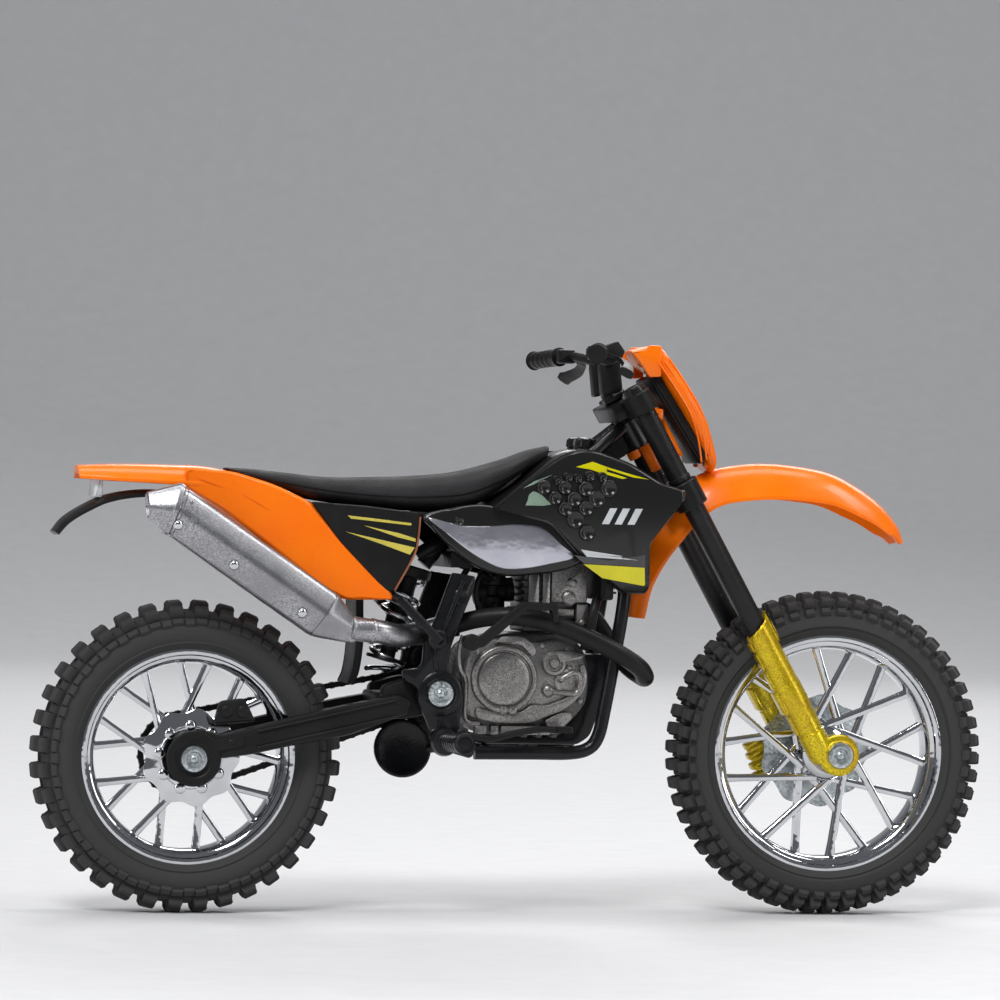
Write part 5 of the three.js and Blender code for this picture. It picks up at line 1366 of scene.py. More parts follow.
@dataclass
class Exhaust:
    """Header round the engine, mid pipe and the slanting silencer."""

    start: tuple[float, float, float] = (-27.2, -8.4, 37.3)
    end: tuple[float, float, float] = (-45.4, -8.4, 49.4)

    def build(self) -> None:
        """The whole exhaust."""
        self.header()
        self.mid()
        self.silencer()

    def header(self) -> None:
        """The black header that loops in front of the cylinder and back along the right side."""
        path = [(6.9, 0, 38.4), (8.8, -0.3, 37.3), (10.9, -1.2, 34.2), (12.8, -2.6, 31.4), (14.2, -4.4, 30.1),
                (14.3, -6.5, 30.0),
                (13.2, -8.0, 31.2), (11.0, -8.5, 32.6), (7.4, -8.4, 34.4), (2.4, -7.9, 36.4), (-2.4, -7, 37.3),
                (-6.4, -5.6, 37), (-10.3, -4, 35.9)]
        shape = Shape().bar(through(path, 130), 1.15, 24)
        tangent = unit(np.array(path[1]) - np.array(path[0]))
        shape.turn([(1.1, -0.2), (1.75, -0.1), (1.75, 0.5), (1.2, 0.7)], path[0], tangent, 28)
        shape.make("header_pipe", SATIN, Body.CHASSIS, "exhaust_header", smooth=60)

    def mid(self) -> None:
        """The silver mid pipe with its stepped collar and a clamp."""
        path = [(-11.2, -3.9, 35.7), (-14, -4.2, 35), (-17.4, -6.7, 34.7), (-20.0, -8.1, 35.2), (-23.3, -8.45, 35.4)]
        shape = Shape().bar(through(path, 60), 1.45, 28)
        axis = (-0.97, -0.06, 0.12)
        shape.turn([(1.3, 0.0), (1.55, 0.05), (1.6, 0.15), (1.6, 0.5), (1.48, 0.6), (1.5, 2.6), (1.6, 2.75), (1.6, 3.1),
                    (1.3, 3.2)],
                   (-20.5, -8.15, 35.2), axis, 40)
        shape.make("mid_pipe", SILVER, Body.CHASSIS, "exhaust_mid_pipe", smooth=50)

    def silencer(self) -> None:
        """The slanting six-sided silencer: a soft-edged prism with a nose cone, seams and rivets."""
        s, e = np.array(self.start), np.array(self.end)
        axis = unit(e - s)
        up = unit([axis[2], 0, -axis[0]])
        side = np.array([0.0, 1.0, 0.0])
        corners = np.array([(-2.9, 0.0, 0.9), (-1.4, 3.05, 0.8), (1.4, 3.05, 0.8), (2.9, 0.0, 0.9), (1.4, -3.05, 0.8),
                            (-1.4, -3.05, 0.8)])
        ring = rounded(corners, 5)
        length = float(np.linalg.norm(e - s))

        def section(distance: float, wide: float, tall: float, lean: float = 0.0, lift: float = 0.0) -> np.ndarray:
            """The section's corners at a distance along the axis, leaned back by `lean` mm for each mm of height."""
            along_axis = distance + lean * ring[:, 1:] * tall
            return s + axis * along_axis + up * lift + ring[:, :1] * wide * side + ring[:, 1:] * tall * up

        rows = [(-4.5, 0.44, 0.44, 0.6, 0.6), (-4.3, 0.47, 0.47, 0.58, 0.58), (-3.2, 0.6, 0.62, 0.4, 0.42),
                (-0.9, 0.87, 0.93, 0.1, 0.1),
                (-0.35, 0.93, 0.99), (-0.18, 0.93, 0.99), (-0.12, 0.9, 0.95),
                (0.05, 0.9, 0.95), (0.1, 0.97, 1.0), (length * 0.5, 1.0, 1.0, 0.12), (length - 0.4, 0.99, 1.0, 0.25),
                (length - 0.3, 0.94, 0.95, 0.25), (length, 0.94, 0.95, 0.25)]
        shape = Shape().loft(np.array([section(*r) for r in rows]))
        outer = s + side * -2.3
        rivets = Shape()
        for t, h in ((2.4, -1.5), (length * 0.5 + 1.7, -1.5), (length - 0.8, -1.4)):
            rivets.turn([(0.3, -0.4), (0.64, -0.3), (0.66, 0.1), (0.54, 0.34), (0.32, 0.46), (0.08, 0.52)],
                        outer + axis * t + up * h,
                       (0, -0.9, -0.4), 26)
        shape.bolt(s + side * -1.95 + axis * (length - 0.6) + up * 1.9, (0, -0.9, 0.45), 0.32, 0.2, 16)
        rivets.make("silencer_rivets", CHROME, Body.CHASSIS, smooth=60)
        shape.make("silencer_can", SILVER, Body.CHASSIS, "muffler", smooth=24)
        cap = Shape()
        rows = [(length + 0.05, 0.96, 0.98, 0.25), (length + 0.2, 1.02, 1.04, 0.25), (length + 0.7, 1.02, 1.04, 0.26),
                (length + 0.85, 0.98, 1.0, 0.27), (length + 3.2, 0.6, 0.44, 0.84, -1.45),
                (length + 3.35, 0.52, 0.36, 0.84, -1.5),
                (length + 2.7, 0.46, 0.3, 0.84, -1.4)]
        cap.loft(np.array([section(*r) for r in rows]))
        cap.make("silencer_end", SILVER, Body.CHASSIS, "muffler_end_cap", smooth=24)


# ------------ bodywork


def shroud_face(x: np.ndarray, z: np.ndarray) -> np.ndarray:
    """The tank side's y: 8.3 + 0.075 (x + 7) mm plus a bulge 0.9 (1 - ((z - 50) / 8.5)^2), never below zero."""
    bulge = 0.9 * np.clip(1 - ((z - 50) / 8.5) ** 2, 0, 1)
    return -(8.3 + 0.075 * (x + 7) + bulge)


def panel_face(x: np.ndarray, z: np.ndarray) -> np.ndarray:
    """The tail side's y: easing from 4.6 at x = -43 to 7.05 at x = -35, leaning out a little downwards."""
    t = np.clip((x + 43) / 9, 0, 1)
    return -(4.6 + 2.45 * t * t * (3 - 2 * t) + 0.012 * (50 - z))


def flat_face(x: np.ndarray, z: np.ndarray) -> np.ndarray:
    """The number panel's y: 7.1 mm everywhere."""
    return np.full(x.shape, -7.1)


@dataclass
class Bodywork:
    """Tank, shrouds, seat, tail, side panels, their printed stripes and a painted reflection on the tank sides."""

    proud: float = 0.03  # how far a printed stripe stands off its panel

    def build(self) -> None:
        """All the bodywork."""
        self.tank()
        self.shroud()
        self.side_cover()
        self.number_panel()
        self.tail()
        self.seat()
        self.rear_bits()

    def tank(self) -> None:
        """The tank between the shrouds, and its cap."""
        rows = [(-5.6, 51.6, -5.6, 47.2, 4.6), (-2.0, 54.0, -2.0, 46.7, 5.9), (2.0, 57.2, 2.0, 46.6, 6.2),
                (6.0, 58.5, 6.0, 46.6, 6.2),
                (9.0, 57.9, 9.4, 46.8, 5.6), (11.3, 56.3, 11.3, 48.0, 4.2)]
        Shape().hull(rows, 36, 36, 3.4, 0.2).make("tank_shell", GLOSS, Body.CHASSIS, "fuel_tank", smooth=60)
        cap = Shape()
        cap.turn([(1.0, -0.6), (1.75, -0.5), (1.85, 0.2), (1.7, 0.75), (1.2, 1.0), (0.4, 1.05)], (7.0, 0, 58.8),
                 (0.06, 0, 1), 40)
        for k in range(10):
            a = k * math.pi / 5
            cap.bar([(7.0 + 1.78 * math.cos(a), 1.78 * math.sin(a), 58.6),
                     (7.03 + 1.7 * math.cos(a), 1.7 * math.sin(a), 59.5)], 0.2, 8)
        cap.make("tank_cap", GLOSS, Body.CHASSIS, "fuel_cap")

    def shroud(self) -> None:
        """The glossy side of the tank with its pointed front corner and a rim line."""
        outline = [(-6.2, 50.6, 0.4), (-2.6, 53.6, 1.0), (1.4, 56.8, 1.2), (3.6, 58.0, 1.0), (6.6, 58.2, 1.2),
                   (11.3, 56.6, 1.5),
                   (15.1, 54.2, 0.8), (18.0, 53.4, 0.4), (17.9, 52.2, 0.5), (13.6, 46.7, 0.8), (13.9, 41.3, 0.7),
                   (13.3, 40.4, 0.5),
                   (10.7, 40.4, 0.6), (7.9, 42.4, 0.6), (4.6, 45.4, 0.7), (1.0, 49.0, 1.0), (-3.0, 49.9, 1.0)]
        spine = [(-4.0, 51.0), (2.0, 53.4), (9.0, 51.5), (11.5, 47.0), (12.0, 43.0)]
        shape = Shape().skin(outline, spine, shroud_face, 1.7, 12, 0.45)
        both_sides("tank_side", shape, GLOSS, Body.CHASSIS, "shroud", smooth=55)
        self.rings()
        self.stripes()

    def rings(self) -> None:
        """Raised bubble rings on the tank side: a torus with a dished middle at each place."""
        places = [(0.1, 53.4, 0.95), (2.7, 53.4, 0.9), (5.3, 53.3, 1.0), (8.2, 53.4, 1.1), (1.5, 52.1, 0.9),
                  (3.9, 52.0, 1.0),
                  (6.7, 52.1, 1.1), (2.8, 50.8, 0.95), (5.4, 50.9, 1.0), (4.1, 49.5, 1.15), (5.6, 47.9, 1.05),
                  (1.8, 54.3, 0.6),
                  (3.1, 54.7, 0.6), (4.3, 54.6, 0.6), (5.8, 54.9, 0.65), (7.4, 54.8, 0.65)]
        shape = Shape()
        for x, z, r in places:
            y = float(shroud_face(np.array([x]), np.array([z]))[0])
            rows = [(0.05, 0.04), (r * 0.45, 0.06), (r * 0.6, 0.14), (r * 0.72, 0.3), (r * 0.84, 0.34),
                    (r * 0.94, 0.24), (r, 0.05), (r + 0.02, -0.1)]
            shape.turn(rows, (x, y, z), (0.06, -1, 0), 32)
        both_sides("tank_rings", shape, GLOSS, Body.CHASSIS, smooth=60)

    def lay_print_and_reflection(self, name: str, outlines: Sequence[Outline], face: Face, finish: Finish, off: float = 0.0) -> None:
        """Thin shapes lying on a panel, printed marks and painted reflection, mirrored on the other side.

        Args:
            name: the piece's name.
            outlines: each shape's corners; its spine runs between the middles of its first and last third.
            face: the panel's own face.
            finish: the shapes' finish.
            off: extra distance off the panel.
        """
        shape = Shape()
        for outline in outlines:
            flat = rounded(outline)
            middle = flat.mean(0)
            spread_out = flat - middle
            direction = np.linalg.svd(spread_out)[2][0]
            reach = np.abs(spread_out @ direction).max() * 0.6
            spine = [middle - direction * reach, middle + direction * reach]
            proud = self.proud + off
            shape.skin(outline, spine, lambda x, z: face(x, z) - proud, 0.05, 4, 0.02)
        both_sides(name, shape, finish, Body.CHASSIS)

    def stripes(self) -> None:
        """The yellow, grey and pale stripes of the tank side, plain slanted bars in place of lettering, and a sage
        patch of painted reflection.
        """
        self.lay_print_and_reflection("stripe_yellow", [[(5.3, 44.0), (13.0, 43.7), (13.2, 41.4, 0.3), (7.8, 42.3)],
                                        [(4.1, 56.0), (6.2, 56.7), (8.1, 56.05), (7.7, 55.75), (7.9, 55.5),
                                         (10.5, 54.75), (9.9, 54.65), (7.6, 55.2),
                                         (6.0, 55.7)],
                                        [(7.9, 56.1), (10.4, 55.4), (13.3, 54.65), (11.3, 54.85), (9.2, 55.45),
                                         (7.9, 55.85)]],
                      shroud_face, YELLOW)
        self.lay_print_and_reflection("stripe_grey", [[(4.1, 45.1), (8.5, 44.5), (13.0, 45.3), (13.1, 43.75), (5.4, 44.05)]],
                      shroud_face, GREY)
        self.lay_print_and_reflection("stripe_pale", [[(4.9, 45.8), (10.1, 45.1), (6.5, 45.2), (12.2, 44.6), (5.7, 44.9)]], shroud_face,
                      WHITE)
        bars = [[(x, 49.0), (x + 0.9, 49.0), (x + 1.9, 51.0), (x + 1.0, 51.0)] for x in (7.4, 9.0, 10.6)]
        self.lay_print_and_reflection("slanted_bars", bars, shroud_face, WHITE)
        # the sage patch and its sliver are painted reflection on the gloss black tank side
        self.lay_print_and_reflection("sage_reflection_patch", [[(-1.8, 52.4, 0.2), (-1.2, 52.9, 0.2), (-0.2, 52.5, 0.2), (0.5, 51.8, 0.2),
                                      (1.1, 51.3, 0.1), (0.0, 51.1, 0.2),
                                      (-2.2, 51.1, 0.1), (-1.9, 51.7, 0.2)],
                                     [(-2.5, 53.2), (-1.1, 54.1), (1.2, 55.0), (-1.0, 53.8)]],
                      shroud_face, SAGE_PAINTED_REFLECTION)

    def side_cover(self) -> None:
        """The swept side cover: a glossy black border round a bright inset, and a small dimple."""
        border = smooth_closed([(-14.6, 49.6), (-11.0, 50.6), (-7.0, 51.1), (-2.6, 50.2), (1.2, 49.6), (4.6, 46.4),
                                (5.9, 44.6),
                                (3.6, 43.2), (0.0, 42.6), (-4.0, 42.3), (-7.6, 43.3), (-11.2, 45.8), (-13.4, 48.0)], 96)

        def bulge(x: np.ndarray, z: np.ndarray) -> np.ndarray:
            """y = 7.35 mm plus the height of a 0.75 mm dome over the cover's length and height."""
            return -(7.35 + 0.75 * np.sqrt(np.clip(1 - ((x + 4.2) / 11.5) ** 2 - ((z - 46.8) / 5.6) ** 2, 0, 1)))

        shape = Shape().skin(border, [(-10.5, 48.4), (-4.0, 46.6), (2.5, 45.4)], bulge, 0.9, 9, 0.3)
        both_sides("side_cover_border", shape, GLOSS, Body.CHASSIS, "side_cover", smooth=55)
        inset_line = smooth_closed([(-14.0, 49.3), (-11.1, 48.7), (-9.0, 48.4), (-5.6, 48.5), (-2.7, 48.8), (0.4, 48.4),
                                    (2.6, 46.6),
                                    (4.5, 44.8), (1.1, 43.8), (-2.1, 43.2), (-4.9, 43.3), (-8.3, 44.9), (-11.6, 47.3)],
                                   96)
        silver = Shape().skin(inset_line, [(-10.0, 47.6), (-4.0, 46.2), (2.5, 45.4)],
                              lambda x, z: bulge(x, z) - 0.22 * np.clip(1 - ((z - 46.3) / 3.2) ** 2, 0, 1) - 0.06, 0.3,
                              9, 0.12)
        both_sides("side_cover_inset", silver, INSET, Body.CHASSIS, smooth=55)
        dimple = Shape().turn([(0.15, 0.02), (0.3, 0.05), (0.42, 0.16), (0.6, 0.1), (0.66, -0.1)], (-10.2, -7.95, 48.9),
                              RIGHT, 24)
        both_sides("side_cover_dimple", dimple, GLOSS, Body.CHASSIS)

    def number_panel(self) -> None:
        """The plain black panel under the seat, with tapered gold stripes and a copper front edge."""
        outline = [(-28.5, 51.0, 0.4), (-21.5, 50.6, 0.5), (-14.9, 49.9, 0.6), (-15.2, 45.3, 0.8), (-17.9, 40.1, 0.4),
                   (-19.2, 40.2, 0.4),
                   (-24.8, 46.1, 0.5)]
        shape = Shape().skin(outline, [(-25.0, 49.0), (-19.0, 47.0), (-17.5, 43.0)], flat_face, 0.8, 6, 0.15)
        both_sides("number_panel_plain", shape, SATIN, Body.CHASSIS, "number_panel")
        self.lay_print_and_reflection("panel_stripes", [[(-24.3, 47.4), (-19.9, 46.5), (-15.5, 45.6), (-16.1, 44.7), (-19.9, 46.0)],
                                        [(-22.0, 48.2), (-17.4, 47.3), (-15.4, 46.7), (-15.4, 46.3), (-17.6, 46.8)],
                                        [(-24.0, 49.4), (-16.0, 48.6), (-16.0, 48.3), (-23.6, 49.0)]], flat_face,
                      STRIPE, 0.02)
        edge = Shape().bar(through([(-14.9, -7.2, 49.4), (-15.1, -7.2, 46.8), (-15.6, -7.2, 44.6), (-17.9, -7.2, 40.3)],
                                   24), 0.13, 8)
        both_sides("panel_edge", edge, COPPER, Body.CHASSIS)

    def tail(self) -> None:
        """The orange tail: the long rear mudguard blade and the two swept side panels."""
        crown = [(-56.7, 54.75), (-52.0, 55.0), (-46.0, 55.05), (-41.0, 54.95), (-37.0, 54.2), (-32.0, 52.6),
                 (-27.0, 50.6)]
        shape = Shape().arch(crown, (2.9, 3.9, 4.5, 4.8, 5.0, 5.2, 5.6), (1.2, 1.7, 1.95, 2.1, 2.2, 2.0, 1.4), 0.75, 48,
                             4.0, 0.1)
        shape.make("tail_blade", ORANGE, Body.CHASSIS, "rear_fender", smooth=50)
        outline = [(-43.8, 54.7, 0.6), (-38.2, 54.5, 1.2), (-32.9, 52.9, 1.5), (-28.7, 51.0, 0.8), (-24.9, 46.5, 0.6),
                   (-18.3, 40.0, 0.3),
                   (-17.9, 39.1, 0.3), (-24.2, 39.0, 0.8), (-26.9, 40.4, 1.0), (-34.3, 45.9, 2.0), (-39.5, 49.8, 2.0),
                   (-44.0, 52.6, 0.6)]
        spine = [(-42.5, 53.6), (-37.5, 51.9), (-32.0, 48.8), (-26.0, 43.6), (-22.0, 40.4)]
        panel = Shape().skin(outline, spine, panel_face, 1.3, 8, 0.4)
        both_sides("tail_side", panel, ORANGE, Body.CHASSIS, smooth=55)

    def seat(self) -> None:
        """The long one-piece seat with its grained top and a seam along each side."""
        rows = [(-38.2, 54.95, -37.6, 54.3, 2.6), (-35.0, 54.85, -35.0, 53.4, 4.1), (-31.0, 54.5, -31.6, 52.4, 4.6),
                (-26.0, 54.1, -28.0, 51.3, 4.9), (-20.5, 54.2, -21.3, 50.5, 5.05), (-14.5, 54.5, -14.5, 50.1, 5.1),
                (-8.8, 55.2, -8.6, 50.3, 5.0), (-3.2, 56.8, -4.6, 52.4, 4.5), (0.0, 58.0, -1.4, 54.8, 3.7),
                (2.4, 58.6, 2.0, 56.9, 2.4)]
        shape = Shape().hull(rows, 84, 40, 3.0, 0.35)
        shape.make("seat_cover", SEAT, Body.CHASSIS, "seat", smooth=60)
        tray = [(-28.0, 49.5, 0.2), (-28.0, 50.6, 0.2), (-20.0, 50.3, 0.3), (-13.0, 49.9, 0.3), (-7.0, 50.0, 0.3),
                (-7.0, 49.1, 0.3), (-20.0, 49.3, 0.3)]
        Shape().plate(tray, -6.7, 6.7, 0.2).make("seat_tray", SATIN, Body.CHASSIS)
        seam = Shape()
        for s in (-1, 1):
            line = [(-36.5, 3.5 * s, 54.2), (-31.0, 4.65 * s, 53.2), (-26, 4.95 * s, 52.4), (-20.5, 5.1 * s, 52.0),
                    (-14.5, 5.15 * s, 51.9),
                    (-9.0, 5.05 * s, 52.4), (-4.2, 4.6 * s, 54.2), (-0.8, 3.8 * s, 56.1)]
            seam.bar(through(line, 70), 0.1, 8)
        seam.make("seat_piping", SATIN, Body.CHASSIS)

    def rear_bits(self) -> None:
        """Plate holder, tail lamp, inner mudguard and radiator."""
        crown = [(-59.6, 46.7), (-58.2, 48.4), (-55.8, 50.0), (-53.0, 51.3), (-49.0, 52.0), (-44.2, 52.0)]
        holder = Shape().arch(crown, (3.2, 3.9, 4.1, 3.6, 3.2, 3.0), (0.3, 0.4, 0.5, 0.6, 0.6, 0.5), 0.75, 34, 4.0)
        holder.make("plate_bracket", SATIN, Body.CHASSIS, "plate_holder", smooth=50)
        lamp = Shape().block((-54.8, -53.7), (-2.6, 2.6), (50.9, 53.6), 0.3)
        lamp.make("tail_lamp", LAMP, Body.CHASSIS, "tail_light")
        inner = [(-22.4, 49.0), (-22.1, 44.0), (-22.0, 38.0), (-21.9, 33.9), (-22.3, 30.2), (-22.9, 28.6)]
        guard = Shape()
        line = through(inner, 40)
        v = np.linspace(-3.6, 3.6, 13)
        rings = [np.concatenate([np.stack([np.full(13, x), v, np.full(13, z)], 1),
                                 np.stack([np.full(13, x + 0.9), v[::-1], np.full(13, z + 0.15)], 1)]) for x, z in line]
        guard.loft(np.array(rings))
        for s in (-1, 1):
            guard.bar([(x + 0.4, s * 3.3, z) for x, z in line[::3]], 0.45, 10)
        guard.make("inner_mudguard", SATIN, Body.CHASSIS, "inner_fender")
        core = Shape().block((8.4, 10.1), (-6.5, 6.5), (39.5, 46.1), 0.4)
        for z in np.arange(40.3, 45.6, 0.62):
            core.block((9.9, 10.5), (-6.1, 6.1), (z, z + 0.26), 0.08)
        core.make("radiator_core", SATIN, Body.CHASSIS, "radiator")


# ------------ rear end


@dataclass
class RearEnd:
    """Swingarm, chain, shock and calliper."""

    arm_y: tuple[float, float] = (-7.0, -5.4)
    chain_r: float = 4.95  # the loop's radius at the wheel
    chain_front_r: float = 2.6
    pitch: float = 1.3  # between two chain pins
    teeth: int = 30
    turns: float = 4.5  # of the spring
    coil_r: float = 2.15
    wire_r: float = 0.32

    def build(self) -> None:
        """The whole rear end."""
        self.arms()
        self.calliper()
        self.chain()
        self.sprocket()
        self.shock()

    def arms(self) -> None:
        """The tapered arms with axle adjusters, ribs and a yoke in front."""
        outline = [(-45.0, 19.6, 1.6), (-44.3, 22.2, 1.4), (-41.6, 22.9, 1.0), (-39.2, 22.2, 0.8), (-31.0, 24.3, 1.0),
                   (-23.2, 26.2, 1.0),
                   (-16.9, 27.4, 0.6), (-15.2, 26.6, 0.5), (-15.9, 25.0, 0.6), (-23.2, 22.3, 1.0), (-30.5, 20.9, 1.0),
                   (-35.4, 19.8, 1.0),
                   (-39.6, 19.2, 0.8), (-40.0, 16.9, 0.8), (-42.4, 16.0, 1.2), (-44.6, 17.2, 1.2)]
        y0, y1 = self.arm_y
        shape = Shape().plate(outline, y1, y0 + 0.15, 0.4)
        x, z = REAR_AXLE
        shape.turn([(1.1, -0.3), (3.3, -0.25), (3.4, 0.0), (3.25, 0.15), (2.4, 0.2), (2.2, 0.05), (1.9, 0.02),
                    (1.1, 0.0)],
                   (x, y0 + 0.05, z), RIGHT, 48, closed=True)
        shape.plate([(-39.9, 20.1, 0.2), (-39.9, 21.5, 0.2), (-36.4, 22.3, 0.3), (-36.2, 20.9, 0.3)], y0 + 0.1,
                    y0 - 0.08, 0.08)
        shape.bolt((-37.8, y0 - 0.05, 21.3), RIGHT, 0.42, 0.2, 14)
        rib = through([(-34.6, y0, 21.6), (-26.0, y0, 23.6), (-17.4, y0, 25.6)], 20)
        shape.bar(rib + [0, 0.02, -0.9], 0.16, 8)
        shape.bar(rib + [0, 0.02, 1.1], 0.16, 8)
        both_sides("swingarm_blade", shape, SATIN, Body.SWINGARM, "swingarm")
        yoke = Shape()
        yoke.block((-19.4, -16.4), (-5.4, 5.4), (24.6, 27.6), 0.6)
        for s in (-1, 1):
            yoke.plate([(-19.0, 24.2, 0.6), (-18.8, 28.4, 0.8), (-15.6, 29.4, 0.8), (-11.6, 29.7, 1.0),
                        (-9.1, 28.4, 1.0), (-9.0, 26.6, 1.0),
                        (-11.6, 25.2, 0.8), (-15.6, 24.4, 0.6)], s * 3.0, s * 5.5, 0.4)
        yoke.bar([(-11.9, -5.5, 27.6), (-11.9, 0, 27.6), (-11.9, 5.5, 27.6)], 1.7, 28)
        yoke.make("swingarm_bridge", SATIN, Body.SWINGARM, "swingarm_yoke")

    def calliper(self) -> None:
        """The rear calliper on its bracket, and the hose guide."""
        shape = Shape().plate([(-39.9, 23.3, 0.5), (-39.2, 26.3, 0.6), (-36.1, 26.7, 0.5), (-34.7, 23.8, 0.5)], -4.9,
                              -6.5, 0.35)
        for x in (-38.4, -36.4):
            shape.turn([(0.2, -0.2), (0.7, -0.1), (0.7, 0.2), (0.4, 0.35)], (x, -6.5, 25.1), RIGHT, 20)
        shape.make("rear_calliper", SATIN, Body.SWINGARM, "rear_caliper")

    def chain(self) -> None:
        """The chain: overlapping links along the loop round both sprockets, every other one set in."""
        rear, front, big, small = np.array(REAR_AXLE), np.array(PIVOT), self.chain_r, self.chain_front_r
        gap = front - rear
        heading = math.atan2(gap[1], gap[0])
        lean = math.asin((big - small) / np.linalg.norm(gap))
        up, down = heading + math.pi / 2 + lean, heading - math.pi / 2 - lean
        back = np.linspace(up, down + 2 * math.pi, 60)
        fore = np.linspace(down, up, 40)
        arc_back = rear + big * np.stack([np.cos(back), np.sin(back)], 1)
        arc_fore = front + small * np.stack([np.cos(fore), np.sin(fore)], 1)
        loop = np.vstack([arc_back, arc_fore, arc_back[:1]])
        run = np.concatenate([[0], np.cumsum(np.linalg.norm(np.diff(loop, axis=0), axis=1))])
        count = 2 * int(run[-1] / self.pitch / 2)
        at = np.linspace(0, run[-1], count, endpoint=False)
        pins = np.stack([np.interp(at, run, loop[:, 0]), np.interp(at, run, loop[:, 1])], 1)
        ahead = np.roll(pins, -1, axis=0) - pins
        angle = np.arctan2(ahead[:, 1], ahead[:, 0])
        link = np.array([(-0.42, 0.0), (-0.2, 0.42), (0.3, 0.33), (1.0, 0.33), (1.5, 0.42), (1.72, 0.0), (1.5, -0.42),
                         (1.0, -0.33),
                         (0.3, -0.33), (-0.2, -0.42)])
        shape = Shape()
        for k in range(count):
            c, s = math.cos(angle[k]), math.sin(angle[k])
            flat = pins[k] + np.stack([link[:, 0] * c - link[:, 1] * s, link[:, 0] * s + link[:, 1] * c], 1)
            inner, outer = (4.38, 5.3) if k % 2 else (4.52, 5.16)
            rings = np.array([np.stack([flat[:, 0], np.full(10, y), flat[:, 1]], 1) for y in (inner, outer)])
            shape.loft(rings)
        shape.make("chain_links", SATIN, Body.SWINGARM, "chain")

    def sprocket(self) -> None:
        """The rear sprocket: a toothed ring with round lightening hollows.

        Its radius is 4.35 + 0.2 cos(teeth angle).
        """
        angle = circle(8 * self.teeth)
        x, z = REAR_AXLE
        rows = [(4.35, 1, 4.45), (4.35, 1, 4.75), (3.4, 0, 4.8), (2.3, 0, 4.8), (2.3, 0, 4.4), (3.4, 0, 4.4)]
        rings = []
        for r, toothed, y in rows:
            radius = r + 0.2 * np.cos(self.teeth * angle) * toothed
            rings.append(np.stack([x + radius * np.cos(angle), np.full(len(angle), y), z + radius * np.sin(angle)], 1))
        shape = Shape().loft(np.array(rings), wrap=True)
        for k in range(6):
            a = k * math.pi / 3
            shape.bolt((x + 2.85 * math.cos(a), 4.8, z + 2.85 * math.sin(a)), LEFT, 0.34, 0.14, 12)
        shape.make("sprocket_ring", CHROME, Body.REAR_WHEEL, "rear_sprocket")

    def shock(self) -> None:
        """The shock body with its stepped rod and seats, and the open coil on a mesh of its own."""
        foot, head = np.array([-17.9, 0, 29.4]), np.array([-14.7, 0, 42.9])
        axis = unit(head - foot)
        length = float(np.linalg.norm(head - foot))
        shape = Shape().turn([(0.6, 1.9), (2.5, 2.0), (2.6, 2.2), (2.5, 2.45), (1.0, 2.5), (0.95, 6.0), (1.35, 6.1),
                              (1.35, length - 1.2),
                              (2.7, length - 1.0), (2.85, length - 0.7), (2.85, length + 0.1), (2.5, length + 0.3),
                              (0.9, length + 0.4)],
                             foot, axis, 40)
        for z in (3.4, 4.3, 5.2):
            shape.turn([(0.9, z - 0.1), (1.2, z), (1.2, z + 0.3), (0.9, z + 0.4)], foot, axis, 24)
        shape.bar([(-12.9, 0, 43.4), (-11.8, 0, 44.8), (-10.8, 0, 46.4)], 1.0, 16)
        shape.bar(through([(-14.0, -1.4, 44.6), (-12.4, -1.9, 45.6), (-11.0, -1.6, 46.2)], 12), 0.9, 16)
        shape.make("shock_body_turned", SATIN, Body.CHASSIS, "shock_body")
        t = np.linspace(0, 1, 260)
        side = unit(np.cross(axis, [0, 1, 0]))
        other = np.array([0.0, 1.0, 0.0])
        along = 0.5 + (length - 1.8) * t
        phase = 2 * math.pi * self.turns * t + 0.4
        round_axis = np.cos(phase)[:, None] * side + np.sin(phase)[:, None] * other
        coil = foot + along[:, None] * axis + self.coil_r * round_axis
        spring = Shape().bar(coil, self.wire_r, 12)
        piece = spring.make("shock_coil", SPRING, Body.CHASSIS, "shock_spring", smooth=80)
        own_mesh(piece)


@dataclass
class SideStand:
    """The fold-down stand on its hinge boss."""

    def build(self) -> None:
        """A leg with a round dished foot."""
        path = through([(1.7, 3.9, 20.7), (-1.6, 4.0, 20.9), (-6.0, 3.8, 20.7), (-11.4, 3.5, 20.3)], 40)
        shape = Shape().bar(path, np.interp(np.arange(40), [0, 4, 36, 39], [1.0, 0.72, 0.66, 0.7]), 16)
        hinge = unit((0, -0.9063, -0.4226))
        shape.turn([(0.3, -0.75), (1.3, -0.7), (1.4, -0.5), (1.4, 0.5), (1.3, 0.7), (0.3, 0.75)], (1.7, 3.9, 20.7),
                   hinge, 28)
        foot = [(0.5, -0.45), (3.4, -0.42), (3.65, -0.2), (3.65, 0.2), (3.4, 0.42), (2.9, 0.36), (2.7, 0.22),
                (0.5, 0.22)]
        shape.turn(foot, (-14.4, 3.4, 20.2), (0, -1, 0.1), 48)
        shape.make("stand_leg", FRAME, Body.STAND, "side_stand")


# ------------ studio


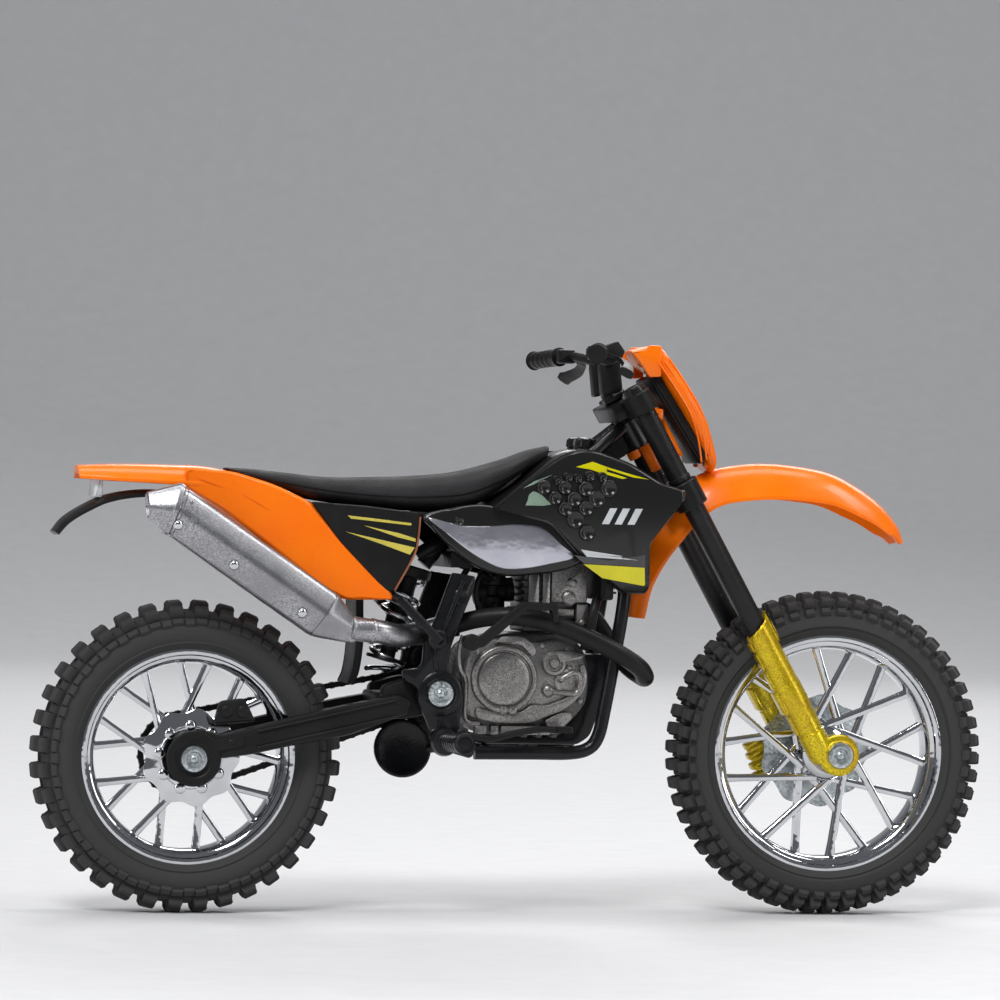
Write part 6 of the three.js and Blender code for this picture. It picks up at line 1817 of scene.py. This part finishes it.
@dataclass
class Studio:
    """Pale sweep, soft lights and the camera."""

    target: tuple[float, float, float] = (-0.002525, 0.0, 0.0517)
    distance: float = 0.5646
    azimuth: float = -12.5
    lens: float = 162.0
    roll: float = 1.3
    aim: tuple[float, float, float] = (0, 0, 0.035)  # where every lamp points
    gap: float = 0.00002  # how far the floor lies below the tyres

    def sweep(self) -> None:
        """A pale floor curving up into a backdrop: flat, then a quarter circle, then upright."""
        a = np.radians(np.linspace(0, 90, 24))
        depth = np.concatenate([[-0.6], np.linspace(-0.5, 0.8, 12), 0.8 + 0.6 * np.sin(a[1:]), [1.4]])
        height = np.concatenate([[0.0], np.zeros(12), 0.6 - 0.6 * np.cos(a[1:]), [2.6]])
        x = np.linspace(-3.2, 3.2, 9)
        turn = math.radians(self.azimuth)
        grid = np.stack([np.stack([x * math.cos(turn) - d * math.sin(turn), x * math.sin(turn) + d * math.cos(turn),
                                   0 * x + h], 1)
                         for d, h in zip(depth, height)])
        m, n = grid.shape[:2]
        index = np.arange(m * n).reshape(m, n)
        faces = np.stack([index[:-1, :-1], index[:-1, 1:], index[1:, 1:], index[1:, :-1]], -1).reshape(-1, 4)
        mesh = bpy.data.meshes.new("sweep")
        mesh.from_pydata((grid.reshape(-1, 3) - [0, 0, self.gap]).tolist(), [], faces.tolist())
        mesh.polygons.foreach_set("use_smooth", np.ones(len(mesh.polygons), bool))
        floor = bpy.data.objects.new("sweep", mesh)
        bpy.context.scene.collection.objects.link(floor)
        mesh.materials.append(PAPER.material())

    def lights(self) -> None:
        """A broad key over the right shoulder, a fill, a rim strip and an overhead panel."""
        rows = (("key", (-0.35, -0.6, 0.8), (0.3, 0.3), 6.5), ("fill", (0.75, -0.6, 0.3), (0.2, 0.5), 1.3),
                ("overhead", (0.0, 0.1, 0.95), (0.9, 0.3), 4.2), ("rim", (0.35, 0.65, 0.5), (0.7, 0.2), 2.4),
                ("rear_strip", (-0.8, -0.25, 0.35), (0.12, 0.6), 1.4),
                ("front_top", (0.55, -0.2, 0.7), (0.25, 0.25), 1.8))
        for name, place, size, power in rows:
            data = bpy.data.lights.new(name, "AREA")
            data.shape = "RECTANGLE"
            data.size, data.size_y = size
            data.energy = power
            lamp = bpy.data.objects.new(name, data)
            lamp.location = place
            way = Vector(self.aim) - lamp.location
            lamp.rotation_euler = way.to_track_quat("-Z", "Y").to_euler()
            bpy.context.scene.collection.objects.link(lamp)
        world = bpy.data.worlds.new("soft_room")
        world.use_nodes = True
        world.node_tree.nodes["Background"].inputs["Color"].default_value = (0.9, 0.93, 1.0, 1.0)
        world.node_tree.nodes["Background"].inputs["Strength"].default_value = 0.16
        bpy.context.scene.world = world
        bpy.context.scene.view_settings.view_transform = "Standard"

    def camera(self) -> None:
        """The camera at the viewing angle, turned a little about its own axis."""
        data = bpy.data.cameras.new("view")
        data.lens = self.lens
        data.sensor_width = 36.0
        data.clip_start = 0.01
        camera = bpy.data.objects.new("view", data)
        azimuth = math.radians(self.azimuth)
        back = Vector((math.sin(azimuth), -math.cos(azimuth), 0.0))
        camera.location = Vector(self.target) + back * self.distance
        turn = back.to_track_quat("Z", "Y").to_matrix() @ Matrix.Rotation(math.radians(self.roll), 3, "Z")
        camera.rotation_euler = turn.to_euler()
        bpy.context.scene.collection.objects.link(camera)
        bpy.context.scene.camera = camera

    def build(self) -> None:
        """Sets everything up."""
        self.camera()
        self.sweep()
        self.lights()


def main() -> None:
    """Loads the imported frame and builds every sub-assembly in order."""
    logging.basicConfig(level=logging.INFO, format="%(message)s")
    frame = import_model()
    Studio().build()
    rear = Wheel("rear", Body.REAR_WHEEL, REAR_AXLE, outer=19.25, bead=13.1, half=4.0, splay=8.9, cross=6.7,
                 hub_half=4.7, tread=REAR_TREAD, first=6.0)
    front = Wheel("front", Body.FRONT_WHEEL, FRONT_AXLE, outer=20.5, bead=14.8, half=3.6, splay=10.4, cross=7.7,
                  hub_half=4.2, tread=FRONT_TREAD, pitches=54, first=5.0)
    rear.build()
    front.build()
    rear.disc(6.1, -4.4, -1, 9, "rear_brake_disc", CHROME)
    front.disc(7.3, 3.9, 1, 9, "front_brake_disc", ZINC)
    rivet_axle("rear_axle_rivet", *REAR_AXLE, 7.7, ZINC, Body.SWINGARM, "rear_axle")
    rivet_axle("front_axle_rivet", *FRONT_AXLE, 8.2, ZINC, Body.SLIDERS, "front_axle")
    rivet_axle("pivot_axle_rivet", *PIVOT, 7.8, ZINC, Body.CHASSIS, "pivot_rivet")
    for assembly in (ForkSet(), Cockpit(), FrameSet(), Engine(), Exhaust(), Bodywork(), RearEnd(), SideStand()):
        log.info("%s:", type(assembly).__name__)
        assembly.build()
    frame["nodes"]["main_frame"].data.materials[0] = FRAME.material()


if __name__ == "__main__":
    main()
